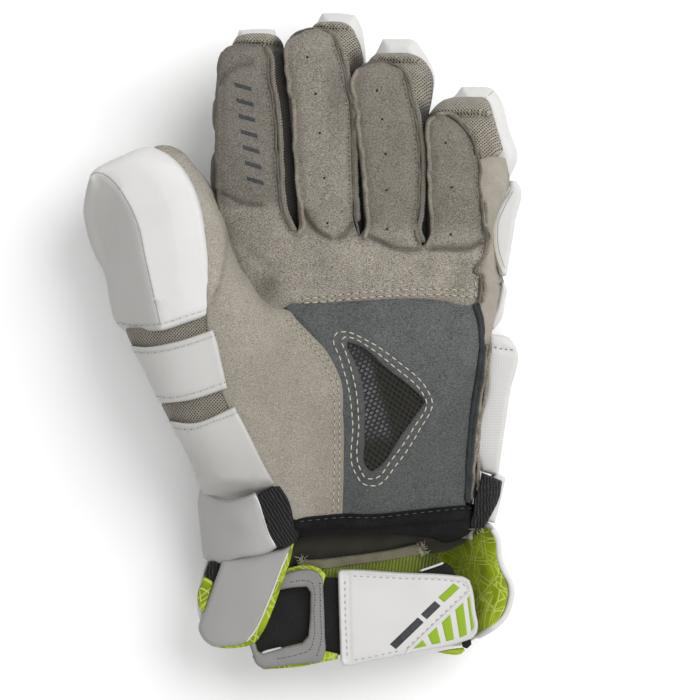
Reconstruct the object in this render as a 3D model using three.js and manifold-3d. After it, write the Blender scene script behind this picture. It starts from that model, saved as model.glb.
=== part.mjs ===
// A left-hand field glove that lies on its back, palm up, fingers along +Y, thumb towards -X.
// Millimetres, +Z up. The layout is drawn from the left corner of the palm's wrist edge,
// and the finished glove is moved so that the middle of its footprint is the origin.

import * as THREE from 'three';
import { mergeVertices } from 'three/addons/utils/BufferGeometryUtils.js';
import Module from 'manifold-3d';

const wasm = await Module();
wasm.setup();

// Walls and clearances
const gap = 0.3;
const suedeWall = 2;
const liningWall = 1.5;
const netWall = 1;

// Hand
const wristEdge = 4;
const palmWidth = 140;
const palmLength = 140;
const palmDepth = 36;
const backPad = 18;
const backPadBevel = 4;
const sidePadRise = 28.5;

// Fingers
const fingerDepth = 30;
const fingerRise = 8;
const fingerPad = 11;
const tipPad = 4;
const indexLength = 109.5;
const indexWidth = 38;
const middleLength = 115.5;
const middleWidth = 32;
const ringLength = 100;
const ringWidth = 32;
const pinkyLength = 77.5;
const pinkyWidth = 38;

// Thumb
const thumbLength = 204;
const thumbWidth = 60;
const thumbDepth = 38;
const thumbLevel = 44;
const thumbPad = 9;
const thumbTipPad = 2;

// Cuff and straps
const cuffWidth = 150;
const cuffLength = 60;
const cuffPad = 7;
const cuffDepth = 46;
const bindingWall = 3;
const wrapWall = 4;
const elasticWall = 2;
const tabWidth = 70;
const tabLength = 49;
const tabWall = 4;
const loopWidth = 36;
const loopLength = 50;
const loopWall = 3;
const flapWidth = 48;
const flapLength = 52;
const flapWall = 5;

// Levels that follow from the sizes
const shellFloor = backPad + gap;
const shellMiddle = shellFloor + palmDepth / 2;
const shellTop = shellFloor + palmDepth;
const strapLevel = shellTop - cuffPad * 2.5;
const strapTop = strapLevel - gap;
const loopLevel = strapLevel + liningWall + gap;
const flapLevel = loopLevel + loopWall + gap + liningWall + gap;
const rimLevel = flapLevel - liningWall - gap * 2;
const skyLevel = shellTop + thumbDepth * 2;

const far = palmWidth + palmLength + thumbLength;

// Facets round a section
const handSides = 18;
const fingerSides = 11;
const padSides = 8;
const thumbSides = 12;

// Colours of the finished materials
const colours = {
  suede: 0x8a8578,
  slate: 0x5f676b,
  mesh: 0x6f6a5f,
  net: 0x2b2b28,
  leather: 0xe2e2df,
  leatherGrey: 0xa8a39c,
  lining: 0x93bd1e,
  elastic: 0x222224,
  liner: 0x33322a,
};

// A closed geometry becomes a solid for joins and cuts.
function toSolid(geometry) {
  const bare = geometry.clone();
  bare.deleteAttribute('normal');
  bare.deleteAttribute('uv');
  const merged = mergeVertices(bare, 1e-4);
  const vertProperties = new Float32Array(merged.attributes.position.array);
  const triVerts = new Uint32Array(merged.index.array);
  return new wasm.Manifold(new wasm.Mesh({ numProp: 3, vertProperties, triVerts }));
}

function toGeometry(solid) {
  const mesh = solid.getMesh();
  const geometry = new THREE.BufferGeometry();
  geometry.setAttribute('position', new THREE.BufferAttribute(mesh.vertProperties, 3));
  geometry.setIndex(new THREE.BufferAttribute(mesh.triVerts, 1));
  geometry.computeVertexNormals();
  return geometry;
}

// A cut can leave crumbs beside the piece: the piece is the largest body.
function wholePiece(solid) {
  const bodies = solid.decompose();
  bodies.sort((a, b) => b.volume() - a.volume());
  return bodies[0];
}

// A solid through rings of points, with a fan over each end.
function loft(rings) {
  const sides = rings[0].length;
  const points = rings.flat();
  const index = [];
  const first = middleOf(rings[0]);
  const last = middleOf(rings[rings.length - 1]);
  points.push(first, last);
  for (let row = 0; row + 1 < rings.length; row += 1) {
    for (let side = 0; side < sides; side += 1) {
      const a = row * sides + side;
      const b = row * sides + (side + 1) % sides;
      index.push(a, b, b + sides, a, b + sides, a + sides);
    }
  }
  const top = (rings.length - 1) * sides;
  for (let side = 0; side < sides; side += 1) {
    const next = (side + 1) % sides;
    index.push(next, side, points.length - 2);
    index.push(top + side, top + next, points.length - 1);
  }
  const geometry = new THREE.BufferGeometry().setFromPoints(points);
  if (signedVolume(points, index) < 0) {
    index.reverse();
  }
  geometry.setIndex(index);
  return toSolid(geometry);
}

function middleOf(ring) {
  const middle = new THREE.Vector3();
  ring.forEach((point) => middle.add(point));
  return middle.divideScalar(ring.length);
}

function signedVolume(points, index) {
  let sum = 0;
  for (let i = 0; i < index.length; i += 3) {
    const cross = new THREE.Vector3().crossVectors(points[index[i + 1]], points[index[i + 2]]);
    sum += points[index[i]].dot(cross);
  }
  return sum;
}

// Outlines in the plane of the palm
function shapeOf(outline) {
  return new THREE.Shape(outline.map(([x, y]) => new THREE.Vector2(x, y)));
}

function prism(outline, low, high) {
  const settings = { depth: high - low, bevelEnabled: false };
  const geometry = new THREE.ExtrudeGeometry(shapeOf(outline), settings);
  geometry.translate(0, 0, low);
  return toSolid(geometry);
}

function bevelledPlate(outline, low, high, bevel) {
  const geometry = new THREE.ExtrudeGeometry(shapeOf(grown(outline, -bevel)), {
    depth: high - low - bevel * 2,
    bevelEnabled: true,
    bevelSize: bevel,
    bevelThickness: bevel,
    bevelSegments: 1,
  });
  geometry.translate(0, 0, low + bevel);
  return toSolid(geometry);
}

// The outline moved outward by a distance, or inward by a negative one.
function grown(outline, distance) {
  const turn = THREE.ShapeUtils.area(outline.map(([x, y]) => new THREE.Vector2(x, y))) > 0 ? 1 : -1;
  const count = outline.length;
  return outline.map((point, i) => {
    const before = outline[(i + count - 1) % count];
    const after = outline[(i + 1) % count];
    const enter = new THREE.Vector2(point[0] - before[0], point[1] - before[1]).normalize();
    const leave = new THREE.Vector2(after[0] - point[0], after[1] - point[1]).normalize();
    const side = new THREE.Vector2(enter.y + leave.y, -enter.x - leave.x).normalize();
    const reach = Math.max(0.5, side.x * enter.y - side.y * enter.x);
    return [point[0] + side.x * distance * turn / reach, point[1] + side.y * distance * turn / reach];
  });
}

// Points given as shares of a field's width and length, from its corner
function inField(field, shares) {
  return shares.map(([across, along]) => [
    field.x + across * field.width,
    field.y + along * field.length,
  ]);
}

const palmField = { x: 0, y: 0, width: palmWidth, length: palmLength };

// A stall is a hollow sleeve: the hand, a finger or the thumb. Its rows run from the root to
// the tip. left and right are shares of its width, along of its length, thick of its depth,
// and lift is the share of its rise that the row's middle has.
function stallRings(stall, grow, sides, power) {
  return stall.rows.map((row, i) => {
    const tipShare = i === stall.rows.length - 1 ? 1 : Math.max(0, (row.along - 0.9) / 0.1);
    const left = stall.x + row.left * stall.width - grow.side;
    const right = stall.x + row.right * stall.width + grow.side + (grow.right ?? 0);
    const y = stall.y + row.along * stall.length + tipShare * grow.tip;
    const middle = stall.level + row.lift * stall.rise;
    const up = row.thick * stall.depth / 2 + grow.up;
    const down = row.thick * stall.depth / 2 + grow.down;
    const ring = [];
    for (let side = 0; side < sides; side += 1) {
      const angle = side / sides * Math.PI * 2;
      const c = Math.cos(angle);
      const s = Math.sin(angle);
      const round = (Math.abs(c) ** power + Math.abs(s) ** power) ** (-1 / power);
      const x = (left + right) / 2 + c * round * (right - left) / 2;
      const z = middle + s * round * (s > 0 ? up : down);
      ring.push(new THREE.Vector3(x, y, z));
    }
    return ring;
  });
}

function evenly(amount) {
  return { side: amount, up: amount, down: amount, tip: amount };
}

// The hand's rows start beyond the wrist edge, where the cuff's wraps pass over it.
const hand = {
  x: 0,
  y: 0,
  width: palmWidth,
  length: palmLength,
  depth: palmDepth,
  level: shellMiddle,
  rise: 0,
  rows: [
    { along: -0.14, left: 0.03, right: 0.92, lift: 0, thick: 1.0 },
    { along: 0.0, left: 0.03, right: 0.917, lift: 0, thick: 1.0 },
    { along: 0.1, left: 0.03, right: 0.917, lift: 0, thick: 1.0 },
    { along: 0.3, left: 0.03, right: 0.935, lift: 0, thick: 1.0 },
    { along: 0.5, left: 0.03, right: 0.95, lift: 0, thick: 1.0 },
    { along: 0.7, left: 0.025, right: 0.98, lift: 0, thick: 1.0 },
    { along: 0.85, left: 0.015, right: 1.015, lift: 0, thick: 1.0 },
    { along: 1.0, left: 0.0, right: 0.998, lift: 0, thick: 1.0 },
  ],
};

const thumb = {
  x: 0,
  y: -palmLength * 0.1,
  width: thumbWidth,
  length: thumbLength,
  depth: thumbDepth,
  level: thumbLevel,
  rise: thumbPad,
  rows: [
    { along: 0.0, left: 0.12, right: 0.66, lift: -0.7, thick: 0.9 },
    { along: 0.147, left: 0.09, right: 0.68, lift: -0.7, thick: 0.9 },
    { along: 0.257, left: -0.08, right: 0.69, lift: -0.4, thick: 0.95 },
    { along: 0.355, left: -0.27, right: 0.66, lift: -0.2, thick: 1.0 },
    { along: 0.453, left: -0.43, right: 0.61, lift: 0, thick: 1.0 },
    { along: 0.551, left: -0.58, right: 0.52, lift: 0.1, thick: 1.0 },
    { along: 0.637, left: -0.72, right: 0.375, lift: 0.2, thick: 1.0 },
    { along: 0.735, left: -0.83, right: 0.175, lift: 0.25, thick: 1.0 },
    { along: 0.833, left: -0.915, right: 0.065, lift: 0.3, thick: 1.0 },
    { along: 0.907, left: -0.9, right: -0.04, lift: 0.3, thick: 0.9 },
    { along: 0.956, left: -0.81, right: -0.14, lift: 0.3, thick: 0.7 },
    { along: 0.985, left: -0.68, right: -0.22, lift: 0.3, thick: 0.45 },
    { along: 1.0, left: -0.54, right: -0.32, lift: 0.3, thick: 0.15 },
  ],
};

// Each finger's front panel runs between frontLeft and frontRight, shares of its width.
const fingers = [
  {
    name: 'index', root: 0, length: indexLength, width: indexWidth,
    rows: [
      { along: 0.0, left: 0.28, right: 0.99, lift: 0, thick: 1.1 },
      { along: 0.1, left: 0.19, right: 1.01, lift: 0.05, thick: 1.07 },
      { along: 0.19, left: 0.09, right: 1.01, lift: 0.12, thick: 1.03 },
      { along: 0.27, left: 0.01, right: 1.01, lift: 0.2, thick: 1.0 },
      { along: 0.5, left: -0.04, right: 0.95, lift: 0.5, thick: 0.95 },
      { along: 0.7, left: -0.05, right: 0.88, lift: 0.75, thick: 0.9 },
      { along: 0.85, left: 0.0, right: 0.87, lift: 0.9, thick: 0.85 },
      { along: 0.95, left: 0.13, right: 0.86, lift: 1, thick: 0.7 },
      { along: 0.985, left: 0.21, right: 0.81, lift: 1, thick: 0.5 },
      { along: 1.0, left: 0.34, right: 0.7, lift: 1, thick: 0.2 },
    ],
    front: [
      { along: 0.04, left: 0.4, right: 0.65 },
      { along: 0.12, left: 0.24, right: 0.78 },
      { along: 0.27, left: 0.06, right: 0.81 },
      { along: 0.5, left: 0.0, right: 0.76 },
      { along: 0.7, left: 0.01, right: 0.71 },
      { along: 0.85, left: 0.05, right: 0.66 },
      { along: 0.91, left: 0.14, right: 0.65 },
      { along: 0.94, left: 0.25, right: 0.62 },
    ],
  },
  {
    name: 'middle', root: 0.286, length: middleLength, width: middleWidth,
    rows: [
      { along: 0.0, left: 0.0, right: 0.96, lift: 0, thick: 1.1 },
      { along: 0.1, left: 0.02, right: 0.94, lift: 0.05, thick: 1.07 },
      { along: 0.27, left: -0.03, right: 0.92, lift: 0.2, thick: 1.0 },
      { along: 0.45, left: -0.09, right: 0.88, lift: 0.45, thick: 0.95 },
      { along: 0.65, left: -0.14, right: 0.84, lift: 0.7, thick: 0.9 },
      { along: 0.745, left: -0.16, right: 0.8, lift: 0.8, thick: 0.88 },
      { along: 0.81, left: -0.19, right: 0.99, lift: 0.87, thick: 0.87 },
      { along: 0.89, left: -0.17, right: 0.98, lift: 0.95, thick: 0.82 },
      { along: 0.95, left: -0.06, right: 0.92, lift: 1, thick: 0.7 },
      { along: 0.985, left: 0.12, right: 0.82, lift: 1, thick: 0.5 },
      { along: 1.0, left: 0.32, right: 0.7, lift: 1, thick: 0.2 },
    ],
    front: [
      { along: 0.07, left: 0.4, right: 0.75 },
      { along: 0.13, left: 0.16, right: 0.84 },
      { along: 0.27, left: 0.04, right: 0.87 },
      { along: 0.45, left: -0.03, right: 0.83 },
      { along: 0.63, left: -0.07, right: 0.81 },
      { along: 0.8, left: -0.15, right: 0.69 },
      { along: 0.9, left: -0.12, right: 0.6 },
      { along: 0.96, left: 0.15, right: 0.42 },
    ],
  },
  {
    name: 'ring', root: 0.514, length: ringLength, width: ringWidth,
    rows: [
      { along: 0.0, left: 0.0, right: 0.96, lift: 0, thick: 1.1 },
      { along: 0.1, left: 0.04, right: 0.95, lift: 0.05, thick: 1.07 },
      { along: 0.3, left: 0.0, right: 0.93, lift: 0.2, thick: 1.0 },
      { along: 0.5, left: -0.06, right: 0.93, lift: 0.45, thick: 0.95 },
      { along: 0.65, left: -0.1, right: 0.94, lift: 0.7, thick: 0.9 },
      { along: 0.8, left: -0.15, right: 1.06, lift: 0.85, thick: 0.87 },
      { along: 0.86, left: -0.16, right: 1.1, lift: 0.9, thick: 0.86 },
      { along: 0.93, left: 0.04, right: 1.04, lift: 0.95, thick: 0.75 },
      { along: 0.97, left: 0.14, right: 0.92, lift: 1, thick: 0.6 },
      { along: 1.0, left: 0.28, right: 0.7, lift: 1, thick: 0.25 },
    ],
    front: [
      { along: 0.02, left: 0.4, right: 0.75 },
      { along: 0.09, left: 0.1, right: 0.83 },
      { along: 0.3, left: 0.03, right: 0.88 },
      { along: 0.5, left: -0.03, right: 0.87 },
      { along: 0.65, left: -0.08, right: 0.84 },
      { along: 0.77, left: -0.12, right: 0.76 },
      { along: 0.86, left: -0.14, right: 0.7 },
      { along: 0.94, left: 0.16, right: 0.5 },
    ],
  },
  {
    name: 'pinky', root: 0.743, length: pinkyLength, width: pinkyWidth,
    rows: [
      { along: 0.0, left: 0.0, right: 0.94, lift: 0, thick: 1.1 },
      { along: 0.14, left: 0.05, right: 0.96, lift: 0.1, thick: 1.05 },
      { along: 0.38, left: 0.04, right: 1.08, lift: 0.35, thick: 1.0 },
      { along: 0.55, left: 0.03, right: 1.09, lift: 0.55, thick: 0.95 },
      { along: 0.7, left: 0.02, right: 1.01, lift: 0.7, thick: 0.9 },
      { along: 0.85, left: 0.01, right: 0.92, lift: 0.85, thick: 0.8 },
      { along: 0.92, left: 0.1, right: 0.88, lift: 0.95, thick: 0.7 },
      { along: 0.98, left: 0.24, right: 0.83, lift: 1, thick: 0.5 },
      { along: 1.0, left: 0.36, right: 0.77, lift: 1, thick: 0.2 },
    ],
    front: [
      { along: 0.03, left: 0.2, right: 0.55 },
      { along: 0.12, left: 0.1, right: 0.7 },
      { along: 0.38, left: 0.07, right: 0.7 },
      { along: 0.6, left: 0.06, right: 0.66 },
      { along: 0.72, left: 0.05, right: 0.58 },
      { along: 0.82, left: 0.04, right: 0.43 },
      { along: 0.87, left: 0.1, right: 0.28 },
    ],
  },
];

// Panels of the palm, as shares of its width and length
const overlayOutline = inField(palmField, [
  [-0.23, 1.373], [-0.178, 1.382], [-0.132, 1.368], [-0.086, 1.321], [-0.032, 1.254],
  [0.007, 1.189], [0.034, 1.109], [0.054, 1.018], [0.125, 0.911], [0.178, 0.815],
  [0.262, 0.782], [0.332, 0.714], [0.394, 0.646], [0.434, 0.554], [0.446, 0.396],
  [0.446, 0.243], [0.444, 0.075], [0.279, 0.05], [0.21, 0.118], [0.204, 0.171],
  [0.127, 0.336], [0.068, 0.454], [0.039, 0.521], [0.014, 0.646], [-0.007, 0.725],
  [-0.009, 0.825], [-0.025, 0.977], [-0.046, 1.121], [-0.071, 1.214], [-0.111, 1.293],
  [-0.164, 1.343],
]);
const slateOutline = inField(palmField, [
  [0.264, 0.788], [0.286, 0.807], [0.488, 0.823], [0.681, 0.836], [0.913, 0.82],
  [0.934, 0.786], [0.932, 0.668], [0.922, 0.554], [0.91, 0.396], [0.9, 0.243],
  [0.889, 0.1], [0.72, 0.087], [0.564, 0.072], [0.449, 0.075], [0.452, 0.243],
  [0.452, 0.396], [0.44, 0.554], [0.4, 0.65], [0.337, 0.718],
]);
const windowOutline = inField(palmField, [
  [0.468, 0.68], [0.49, 0.68], [0.6, 0.59], [0.72, 0.5], [0.735, 0.47], [0.66, 0.35],
  [0.56, 0.225], [0.54, 0.225], [0.53, 0.35], [0.528, 0.47], [0.5, 0.58], [0.465, 0.655],
]);
const palmOutline = inField(palmField, [
  [0.058, 1.01], [0.125, 0.915], [0.18, 0.82], [0.264, 0.792], [0.286, 0.811],
  [0.488, 0.827], [0.681, 0.84], [0.91, 0.826], [0.937, 0.79], [0.93, 0.85],
  [0.945, 0.96], [0.95, 1.01],
]);
const gussetOutline = inField(palmField, [
  [0.955, 1.01], [0.95, 0.96], [0.935, 0.85], [0.942, 0.79], [0.94, 0.7], [1.1, 0.7], [1.1, 1.01],
]);
const bindingOutline = inField(palmField, [
  [0.27, 0.045], [0.444, 0.071], [0.564, 0.068], [0.72, 0.083], [0.889, 0.096], [0.925, 0.096],
  [0.925, 0.035], [0.72, 0.02], [0.564, 0.003], [0.444, 0.005], [0.28, -0.03],
]);

// Pads over the thumb, as shares of the palm's field
const capOutline = inField(palmField, [
  [-0.6, 1.5], [-0.35, 1.5], [-0.23, 1.39], [-0.17, 1.348], [-0.111, 1.3], [-0.071, 1.22],
  [-0.046, 1.125], [-0.025, 0.98], [-0.009, 0.83], [-0.013, 0.78], [-0.2, 0.724],
  [-0.35, 0.727], [-0.6, 0.8],
]);
const thumbMidOutline = inField(palmField, [
  [-0.33, 0.67], [-0.264, 0.664], [-0.007, 0.725], [0.014, 0.646], [0.039, 0.521],
  [-0.098, 0.475], [-0.2, 0.464], [-0.36, 0.52],
]);
const thumbLowOutline = inField(palmField, [
  [-0.24, 0.405], [-0.086, 0.395], [0.064, 0.454], [0.127, 0.336], [0.204, 0.171],
  [0.19, 0.14], [-0.2, 0.15],
]);

// Pads behind the hand and down its outer side, as shares of the palm's field
const backPads = [
  { name: 'knuckle_roll_left', left: 0.06, right: 0.49, low: 0.72, high: 0.98 },
  { name: 'knuckle_roll_right', left: 0.51, right: 0.95, low: 0.72, high: 0.98 },
  { name: 'back_plate_left', left: 0.08, right: 0.49, low: 0.27, high: 0.7 },
  { name: 'back_plate_right', left: 0.51, right: 0.91, low: 0.27, high: 0.7 },
  { name: 'wrist_roll', left: 0.1, right: 0.89, low: 0.03, high: 0.25 },
];
const sidePads = [
  {
    name: 'side_pad_upper',
    outline: [
      [0.9, 1.14], [1.04, 1.264], [1.082, 1.246], [1.05, 1.0], [1.036, 0.918], [0.98, 0.93], [0.9, 1.0],
    ],
  },
  {
    name: 'side_pad_short',
    outline: [[0.92, 0.9], [1.03, 0.896], [1.036, 0.88], [1.022, 0.768], [0.99, 0.73], [0.92, 0.73]],
  },
  {
    name: 'side_pad_long',
    outline: [
      [0.9, 0.714], [0.975, 0.714], [1.054, 0.689], [1.071, 0.654], [1.0, 0.204], [0.95, 0.216],
      [0.88, 0.25],
    ],
  },
  {
    name: 'side_pad_low',
    outline: [[0.88, 0.2], [1.004, 0.2], [1.03, 0.193], [0.996, 0.039], [0.88, 0.05]],
  },
];

// Straps that pass round the wrist end, as shares of the palm's field
const wrapOutline = inField(palmField, [
  [-0.3, 0.136], [-0.054, 0.161], [-0.032, 0.139], [0.039, 0.121], [0.139, 0.146], [0.152, 0.121],
  [0.195, -0.011], [0.218, -0.046], [0.2, -0.059], [0.086, -0.084], [-0.029, -0.107], [-0.3, -0.09],
]);
const elasticLeftOutline = inField(palmField, [
  [0.156, 0.123], [0.212, 0.171], [0.259, 0.139], [0.268, 0.05], [0.275, -0.03], [0.232, -0.05],
  [0.199, -0.011],
]);
const elasticRightOutline = inField(palmField, [
  [0.93, 0.214], [0.946, 0.214], [1.018, 0.186], [1.007, 0.15], [0.961, 0.039], [0.93, 0.027],
]);

// Cuff: an open sleeve whose inner face follows this section. across is a share of its
// width from its left edge, level of its depth.
const cuffField = { x: -palmWidth * 0.05, y: -wristEdge - gap, width: cuffWidth, length: -cuffLength };
const cuffSection = [
  { across: 0.03, level: 0.8 },
  { across: 0.02, level: 0.5 },
  { across: 0.05, level: 0.25 },
  { across: 0.12, level: 0.16 },
  { across: 0.3, level: 0.11 },
  { across: 0.5, level: 0.1 },
  { across: 0.7, level: 0.11 },
  { across: 0.86, level: 0.16 },
  { across: 0.93, level: 0.4 },
  { across: 0.985, level: 0.84 },
];
const cuffRows = [
  { along: 0.0, spread: 0.9, raise: 0.27, shift: -0.01 },
  { along: 0.2, spread: 0.92, raise: 0.27, shift: 0.0 },
  { along: 0.5, spread: 0.97, raise: 0.12, shift: 0.01 },
  { along: 0.72, spread: 1.0, raise: 0.0, shift: 0.01 },
  { along: 0.88, spread: 0.97, raise: 0.0, shift: 0.0 },
  { along: 1.0, spread: 0.88, raise: 0.0, shift: -0.02 },
];

const cuffFloor = Math.min(...cuffSection.map((point) => point.level));

function cuffPath(row, offset) {
  const points = cuffSection.map((point) => new THREE.Vector2(
    cuffField.x + cuffWidth * (0.5 + (point.across - 0.5) * row.spread + row.shift),
    cuffPad + liningWall + gap * 2 + cuffDepth * (point.level - cuffFloor)
      + row.raise * cuffDepth * Math.max(0, 1 - point.level),
  ));
  return points.map((point, i) => {
    const before = points[Math.max(0, i - 1)];
    const after = points[Math.min(points.length - 1, i + 1)];
    const along = after.clone().sub(before).normalize();
    return new THREE.Vector2(point.x + along.y * offset, point.y - along.x * offset);
  });
}

// Everything inside the cuff's section, grown outward by an offset. A long one runs out
// past both ends, to cut with.
function cuffInside(offset, endReach) {
  return loft(cuffRows.map((row, i) => {
    const reach = i === 0 ? endReach : i === cuffRows.length - 1 ? -endReach : 0;
    const y = cuffField.y + row.along * cuffField.length + reach;
    const path = cuffPath(row, offset);
    const first = path[0];
    const last = path[path.length - 1];
    const ring = path.concat([new THREE.Vector2(last.x, skyLevel), new THREE.Vector2(first.x, skyLevel)]);
    return ring.map((point) => new THREE.Vector3(point.x, y, point.y));
  }));
}

function cuffLayer(inner, outer) {
  const rim = prism([[-far, -far], [far, -far], [far, far], [-far, far]], 0, rimLevel);
  return cuffInside(outer, 0).subtract(cuffInside(inner, cuffPad)).intersect(rim);
}

// Flat pieces of the closure, each outline in shares of its own field
const tabField = { x: palmWidth * 0.43, y: -palmLength * 0.481, width: tabWidth, length: tabLength };
const tabOutline = inField(tabField, [
  [0.0, 0.98], [0.03, 1.0], [0.91, 0.93], [0.96, 0.87], [1.0, 0.4], [0.97, 0.31], [0.89, 0.25],
  [0.045, 0.0], [0.016, 0.06],
]);
const loopField = { x: palmWidth * 0.127, y: -palmLength * 0.489, width: loopWidth, length: loopLength };
const loopOutline = inField(loopField, [
  [0.44, 0.98], [0.82, 1.0], [0.97, 0.91], [1.0, 0.6], [1.0, 0.14], [0.9, 0.06],
  [0.12, 0.0], [0.01, 0.08], [0.0, 0.25],
]);
const loopOpening = inField(loopField, [
  [0.36, 0.75], [0.72, 0.8], [0.79, 0.75], [0.77, 0.34], [0.68, 0.24], [0.11, 0.1],
]);
const flapField = { x: -palmWidth * 0.068, y: -palmLength * 0.407, width: flapWidth, length: flapLength };
const flapCutOutline = inField(palmField, [[-0.2, -0.6], [0.5, -0.6], [0.5, -0.03], [-0.2, -0.03]]);
const flapOutline = inField(flapField, [
  [0.26, 0.82], [0.83, 0.94], [0.97, 0.98], [0.88, 0.77], [0.74, 0.44], [0.55, 0.1],
  [0.47, 0.04], [0.18, 0.0], [0.05, 0.06], [0.0, 0.16], [0.06, 0.34],
]);

// The glove as a group of named meshes
const glove = new THREE.Group();

function addPiece(name, solid, colour, roughness) {
  const material = new THREE.MeshStandardMaterial({ color: colour, roughness, metalness: 0 });
  const mesh = new THREE.Mesh(toGeometry(wholePiece(solid)), material);
  mesh.name = name;
  glove.add(mesh);
}

// Hand and thumb share one cavity
const beyondWrist = [[-far, -wristEdge], [far, -wristEdge], [far, far], [-far, far]];
const wristLine = prism(beyondWrist, 0, skyLevel);
const handRound = 3;
const thumbRound = 2.6;
const fingerRound = 2.8;
const padRound = 4;

function handLoft(amount) {
  return loft(stallRings(hand, { ...evenly(amount), tip: 0 }, handSides, handRound));
}

function thumbLoft(grow) {
  return loft(stallRings(thumb, grow, thumbSides, thumbRound));
}

// The cavity runs out through both ends of the hand.
function handCavity(inset) {
  const rings = stallRings(hand, evenly(-inset), handSides, handRound);
  rings[rings.length - 1].forEach((point) => point.setY(palmLength + palmLength * 0.1));
  return loft(rings);
}

const handAndThumb = handLoft(0).add(thumbLoft(evenly(0))).intersect(wristLine);
const cavity = handCavity(suedeWall).add(thumbLoft(evenly(-suedeWall)));
const shell = handAndThumb.subtract(cavity);
const clearOfHand = handLoft(gap).add(thumbLoft(evenly(gap)));

function frontPanel(outline) {
  return shell.intersect(prism(outline, shellMiddle, skyLevel));
}

function cutBy(outline) {
  return prism(grown(outline, gap), shellMiddle - gap, skyLevel);
}

addPiece('palm_suede', frontPanel(palmOutline), colours.suede, 0.95);
addPiece(
  'palm_slate',
  frontPanel(slateOutline).subtract(prism(windowOutline, shellMiddle, skyLevel)),
  colours.slate,
  0.9,
);
addPiece(
  'palm_mesh_window',
  frontPanel(grown(windowOutline, -gap)).intersect(
    handLoft(netWall - suedeWall),
  ),
  colours.net,
  0.6,
);
const thumbOverlay = frontPanel(overlayOutline)
  .subtract(cutBy(slateOutline))
  .subtract(cutBy(palmOutline));
addPiece('thumb_overlay', thumbOverlay, colours.suede, 0.95);
const binding = handLoft(bindingWall - suedeWall)
  .subtract(handCavity(suedeWall))
  .intersect(prism(bindingOutline, shellMiddle, skyLevel))
  .subtract(cutBy(slateOutline))
  .subtract(cutBy(overlayOutline));
addPiece('wrist_binding', binding, colours.elastic, 0.8);
addPiece('pinky_gusset', frontPanel(gussetOutline).subtract(cutBy(palmOutline)), colours.leatherGrey, 0.7);

const thumbSide = prism(
  inField(palmField, [[-0.8, 1.6], [0.05, 1.6], [0.05, 1.0], [0.02, 0.85], [0.02, -0.2], [-0.8, -0.2]]),
  0,
  skyLevel,
);
const thumbSideCut = prism(
  inField(palmField, [[-0.8, 1.6], [0.053, 1.6], [0.053, 1.0], [0.023, 0.85], [0.023, -0.2], [-0.8, -0.2]]),
  0,
  skyLevel,
);
const rest = shell
  .subtract(cutBy(palmOutline))
  .subtract(cutBy(slateOutline))
  .subtract(cutBy(overlayOutline))
  .subtract(cutBy(gussetOutline))
  .subtract(cutBy(bindingOutline));
addPiece('back_shell', rest.subtract(thumbSideCut), colours.leatherGrey, 0.8);
addPiece('thumb_sleeve', rest.intersect(thumbSide), colours.mesh, 0.9);

// Thumb pads lie over the sleeve, thick outside and thin towards the palm.
const padOverThumb = {
  side: thumbPad,
  right: -thumbPad,
  up: thumbPad,
  down: thumbPad,
  tip: thumbTipPad,
};
const thumbPadBody = thumbLoft(padOverThumb).subtract(clearOfHand);
addPiece('thumb_cap', thumbPadBody.intersect(prism(capOutline, 0, skyLevel)), colours.leather, 0.4);
addPiece('thumb_mid_pad', thumbPadBody.intersect(prism(thumbMidOutline, 0, skyLevel)), colours.leather, 0.4);
addPiece('thumb_low_pad', thumbPadBody.intersect(prism(thumbLowOutline, 0, skyLevel)), colours.leather, 0.4);

// Fingers
const padSpans = [
  { name: 'knuckle_pad', low: 0.06, high: 0.34 },
  { name: 'mid_pad', low: 0.36, high: 0.62 },
  { name: 'tip_pad', low: 0.64, high: 1.3 },
];

const stalls = {};
for (const finger of fingers) {
  const stall = {
    ...finger,
    x: finger.root * palmWidth,
    y: palmLength + gap,
    depth: fingerDepth,
    level: shellMiddle,
    rise: fingerRise,
  };
  stalls[finger.name] = stall;
  const outside = loft(stallRings(stall, evenly(0), fingerSides, fingerRound));
  const insideRings = stallRings(stall, evenly(-suedeWall), fingerSides, fingerRound);
  insideRings[0].forEach((point) => point.setY(palmLength - gap));
  const tube = outside.subtract(loft(insideRings));
  const edge = (row, key) => [stall.x + row[key] * stall.width, stall.y + row.along * stall.length];
  const frontOutline = finger.front.map((row) => edge(row, 'left'))
    .concat([...finger.front].reverse().map((row) => edge(row, 'right')));
  const front = tube.intersect(prism(frontOutline, shellMiddle + fingerRise / 2, skyLevel));
  const sleeve = tube.subtract(prism(grown(frontOutline, gap), shellMiddle + fingerRise / 2 - gap, skyLevel));
  addPiece(`${finger.name}_front`, front, colours.suede, 0.95);
  addPiece(`${finger.name}_sleeve`, sleeve, colours.mesh, 0.9);

  const padGrow = { side: 0, up: 0, down: fingerPad, tip: tipPad };
  const padBody = loft(stallRings(stall, padGrow, padSides, padRound))
    .subtract(loft(stallRings(stall, evenly(gap), fingerSides, fingerRound)));
  for (const span of padSpans) {
    const low = stall.y + span.low * stall.length;
    const high = stall.y + span.high * stall.length;
    const slab = prism([[-far, low], [far, low], [far, high], [-far, high]], 0, skyLevel);
    addPiece(`${finger.name}_${span.name}`, padBody.intersect(slab), colours.leather, 0.4);
  }
}

// Pads behind the hand rest on the ground with their flat outer faces.
for (const pad of backPads) {
  const outline = inField(palmField, [
    [pad.left, pad.low], [pad.right, pad.low], [pad.right, pad.high], [pad.left, pad.high],
  ]);
  const plate = bevelledPlate(outline, 0, backPad + palmDepth * 0.2, backPadBevel);
  addPiece(pad.name, plate.subtract(clearOfHand).subtract(thumbPadBody), colours.leather, 0.4);
}

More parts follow.
